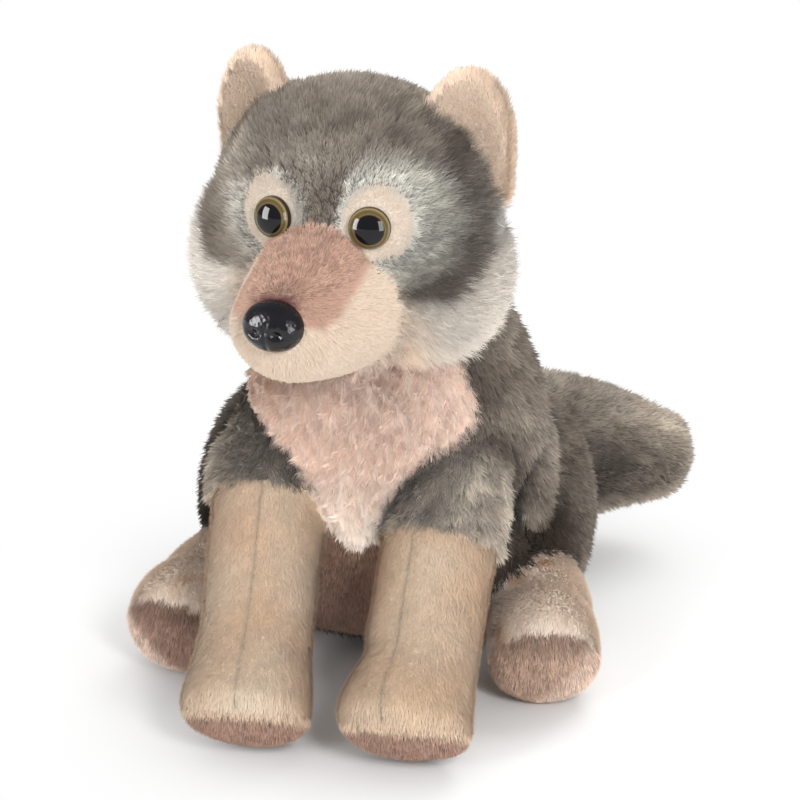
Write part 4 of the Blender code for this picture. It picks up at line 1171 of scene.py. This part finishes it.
total = 0
for index, node in enumerate(soft):
    cloth = panel(index)
    kind = PILE[kind_of(node)][0]
    strands = pile_of(cloth, kind, node, 11 + index)
    cloth.data.materials.append(LOOKS[kind][1])
    for name in ("pile", "strands", "comb"):
        cloth.data.attributes.remove(cloth.data.attributes[name])
    strands.visible_shadow = kind not in (LONG, FLUFF)
    for piece in (cloth, strands):
        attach(piece, "root")
    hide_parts(node)
    total += len(cloth.data.polygons) * 2 + len(strands.data.polygons)
    print(node, len(cloth.data.polygons), "faces of cloth,", len(strands.data.polygons), "of pile")
for made in set(BLADES.values()):
    bpy.data.objects.remove(made, do_unlink=True)
print("triangles of plush:", total)

# %% [markdown]
# ## Eyes
#
# Each eye is one moulded dome: a black pupil, an olive and gold ring with fine rays, and a clear glossy
# face. The dome is turned on its own axis, and its colours follow the distance from that axis. On the toy
# the ring is printed behind the dome, so it seems to slide a little to the side; its centre is shifted so.

# %% Eye material
def eye_material():
    """A pupil, a rayed ring and a dark rim under a clear coat."""
    made = bpy.data.materials.new("clear amber eye")
    made.use_nodes = True
    tree = made.node_tree
    glass = tree.nodes["Principled BSDF"]
    glass.inputs["Roughness"].default_value = 0.04
    glass.inputs["Specular IOR Level"].default_value = 0.38
    colours = tree.nodes.new("ShaderNodeValToRGB")
    stops = [(0.0, (0.004, 0.004, 0.006)), (0.655, (0.006, 0.006, 0.007)), (0.69, (0.03, 0.022, 0.010)),
             (0.73, (0.20, 0.135, 0.055)), (0.81, (0.12, 0.085, 0.035)), (0.88, (0.15, 0.11, 0.045)),
             (0.92, (0.34, 0.25, 0.11)), (0.955, (0.30, 0.225, 0.10)), (0.98, (0.03, 0.023, 0.014))]
    ramp_data = colours.color_ramp
    while len(ramp_data.elements) < len(stops):
        ramp_data.elements.new(0.5)
    for element, (position, colour) in zip(ramp_data.elements, stops):
        element.position = position
        element.color = (*colour, 1)
    rays = tree.nodes.new("ShaderNodeTexNoise")
    rays.inputs["Scale"].default_value = 900
    rays.inputs["Detail"].default_value = 3
    place = tree.nodes.new("ShaderNodeTexCoord")
    mix = tree.nodes.new("ShaderNodeMix")
    mix.data_type = "RGBA"
    mix.blend_type = "MULTIPLY"
    mix.inputs["Factor"].default_value = 0.40
    tree.links.new(place.outputs["Object"], rays.inputs["Vector"])
    tree.links.new(attribute(tree, "radius"), colours.inputs[0])
    tree.links.new(colours.outputs["Color"], mix.inputs["A"])
    tree.links.new(rays.outputs["Color"], mix.inputs["B"])
    tree.links.new(mix.outputs["Result"], glass.inputs["Base Color"])
    return made


def turned(name, profile, segments, place, look, squeeze=(1, 1)):
    """A body turned round its own y axis from (radius, y) pairs, set in place, with its radius as a layer."""
    bm = bmesh.new()
    layer = bm.verts.layers.float.new("radius")
    widest = max(radius for radius, _ in profile)
    loops = []
    for radius, y in profile:
        if radius == 0:
            loops.append([bm.verts.new((0, y, 0))] * segments)
        else:
            loops.append([bm.verts.new((radius * squeeze[0] * math.cos(2 * math.pi * k / segments), y,
                                        radius * squeeze[1] * math.sin(2 * math.pi * k / segments)))
                          for k in range(segments)])
        for vertex in set(loops[-1]):
            vertex[layer] = radius / widest
    for low, high in zip(loops, loops[1:]):
        for k in range(segments):
            n = (k + 1) % segments
            ring = list(dict.fromkeys((low[k], low[n], high[n], high[k])))
            bm.faces.new(ring)
    bmesh.ops.recalc_face_normals(bm, faces=bm.faces)
    bm.transform(place)
    mesh = bpy.data.meshes.new(name)
    bm.to_mesh(mesh)
    bm.free()
    mesh.shade_smooth()
    mesh.materials.append(look)
    made = bpy.data.objects.new(name, mesh)
    bpy.context.scene.collection.objects.link(made)
    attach(made, "root")
    return made


# %% Eyes in place
EYE_RADIUS, EYE_DOME = 0.009, 0.0062
RING_SHIFT = {"eye_left": 0.0012, "eye_right": 0.0026}
AMBER_EYE = eye_material()
profile = [(0, 0.0008), (EYE_RADIUS * 0.985, 0.0008), (EYE_RADIUS, 0.0003), (EYE_RADIUS, -0.0004)]
profile += [(EYE_RADIUS * math.cos(a), -0.0004 - (EYE_DOME - 0.0004) * math.sin(a))
            for a in np.linspace(0.12, math.pi / 2, 18)[:-1]]
profile += [(0, -EYE_DOME)]
for eye, seat in seats.items():
    dome = turned(eye + "_dome", profile, 56, seat, AMBER_EYE)
    local = seat.inverted()
    for index, vertex in enumerate(dome.data.vertices):
        x, _, z = local @ vertex.co
        out = math.hypot(x, z) / EYE_RADIUS
        drawn = math.hypot(x - RING_SHIFT[eye] * max(1 - out ** 2, 0), z) / EYE_RADIUS
        dome.data.attributes["radius"].data[index].value = drawn
    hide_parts(eye)
    print(dome.name, len(dome.data.polygons), "faces")

# %% [markdown]
# ## Nose
#
# The nose is a glossy black moulding with two nostrils and a faint pored grain. It starts as a turned
# dome, and the nostrils are pressed in by moving its corners.

# %% Nose
def nose_material():
    """Glossy black plastic with a faint pored grain."""
    made = bpy.data.materials.new("black moulded nose")
    made.use_nodes = True
    tree = made.node_tree
    plastic = tree.nodes["Principled BSDF"]
    plastic.inputs["Specular IOR Level"].default_value = 0.42
    grain = tree.nodes.new("ShaderNodeGroup")
    grain.node_tree = MOULDING
    grain.inputs["Scale"].default_value = 620
    tint = tree.nodes.new("ShaderNodeValToRGB")
    tint.color_ramp.elements[0].color = (0.003, 0.003, 0.004, 1)
    tint.color_ramp.elements[1].color = (0.012, 0.010, 0.014, 1)
    gloss = tree.nodes.new("ShaderNodeMapRange")
    gloss.inputs["To Min"].default_value = 0.10
    gloss.inputs["To Max"].default_value = 0.26
    press = tree.nodes.new("ShaderNodeBump")
    press.inputs["Strength"].default_value = 0.35
    press.inputs["Distance"].default_value = 0.0005
    tree.links.new(grain.outputs["Mask"], tint.inputs[0])
    tree.links.new(tint.outputs["Color"], plastic.inputs["Base Color"])
    tree.links.new(grain.outputs["Mask"], gloss.inputs["Value"])
    tree.links.new(gloss.outputs[0], plastic.inputs["Roughness"])
    tree.links.new(grain.outputs["Height"], press.inputs["Height"])
    tree.links.new(press.outputs[0], plastic.inputs["Normal"])
    return made


NOSE_HALF = (0.0135, 0.0108)
NOSE_DEEP = 0.0095
seat = to_body @ Matrix.Translation(NOSE_SPOT) @ Matrix.Rotation(-NOSE_TILT, 4, "X")
profile = [(0, 0.001), (0.97, 0.001), (1.0, 0.0002)]
profile += [(math.cos(a) ** 0.8, -NOSE_DEEP * math.sin(a)) for a in np.linspace(0.05, math.pi / 2, 26)[:-1]]
profile += [(0, -NOSE_DEEP)]
nose = turned("nose_moulding", profile, 72, Matrix(), nose_material(), NOSE_HALF)
for vertex in nose.data.vertices:
    x, y, z = vertex.co
    dent = 0.0
    for sign in (1, -1):
        away = math.hypot((x - sign * 0.0050) / 0.0030, (z + 0.0030) / 0.0019)
        dent = max(dent, 0.0024 * math.exp(-away ** 2 * 1.3))
    fade = 1 if z < -0.002 else math.exp(-((z + 0.002) / 0.002) ** 2)
    groove = 0.0007 * math.exp(-(x / 0.0009) ** 2) * fade
    if y < -0.0005:
        vertex.co.y += dent + groove
nose.data.transform(seat)
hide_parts("nose")
print("nose:", len(nose.data.polygons), "faces")
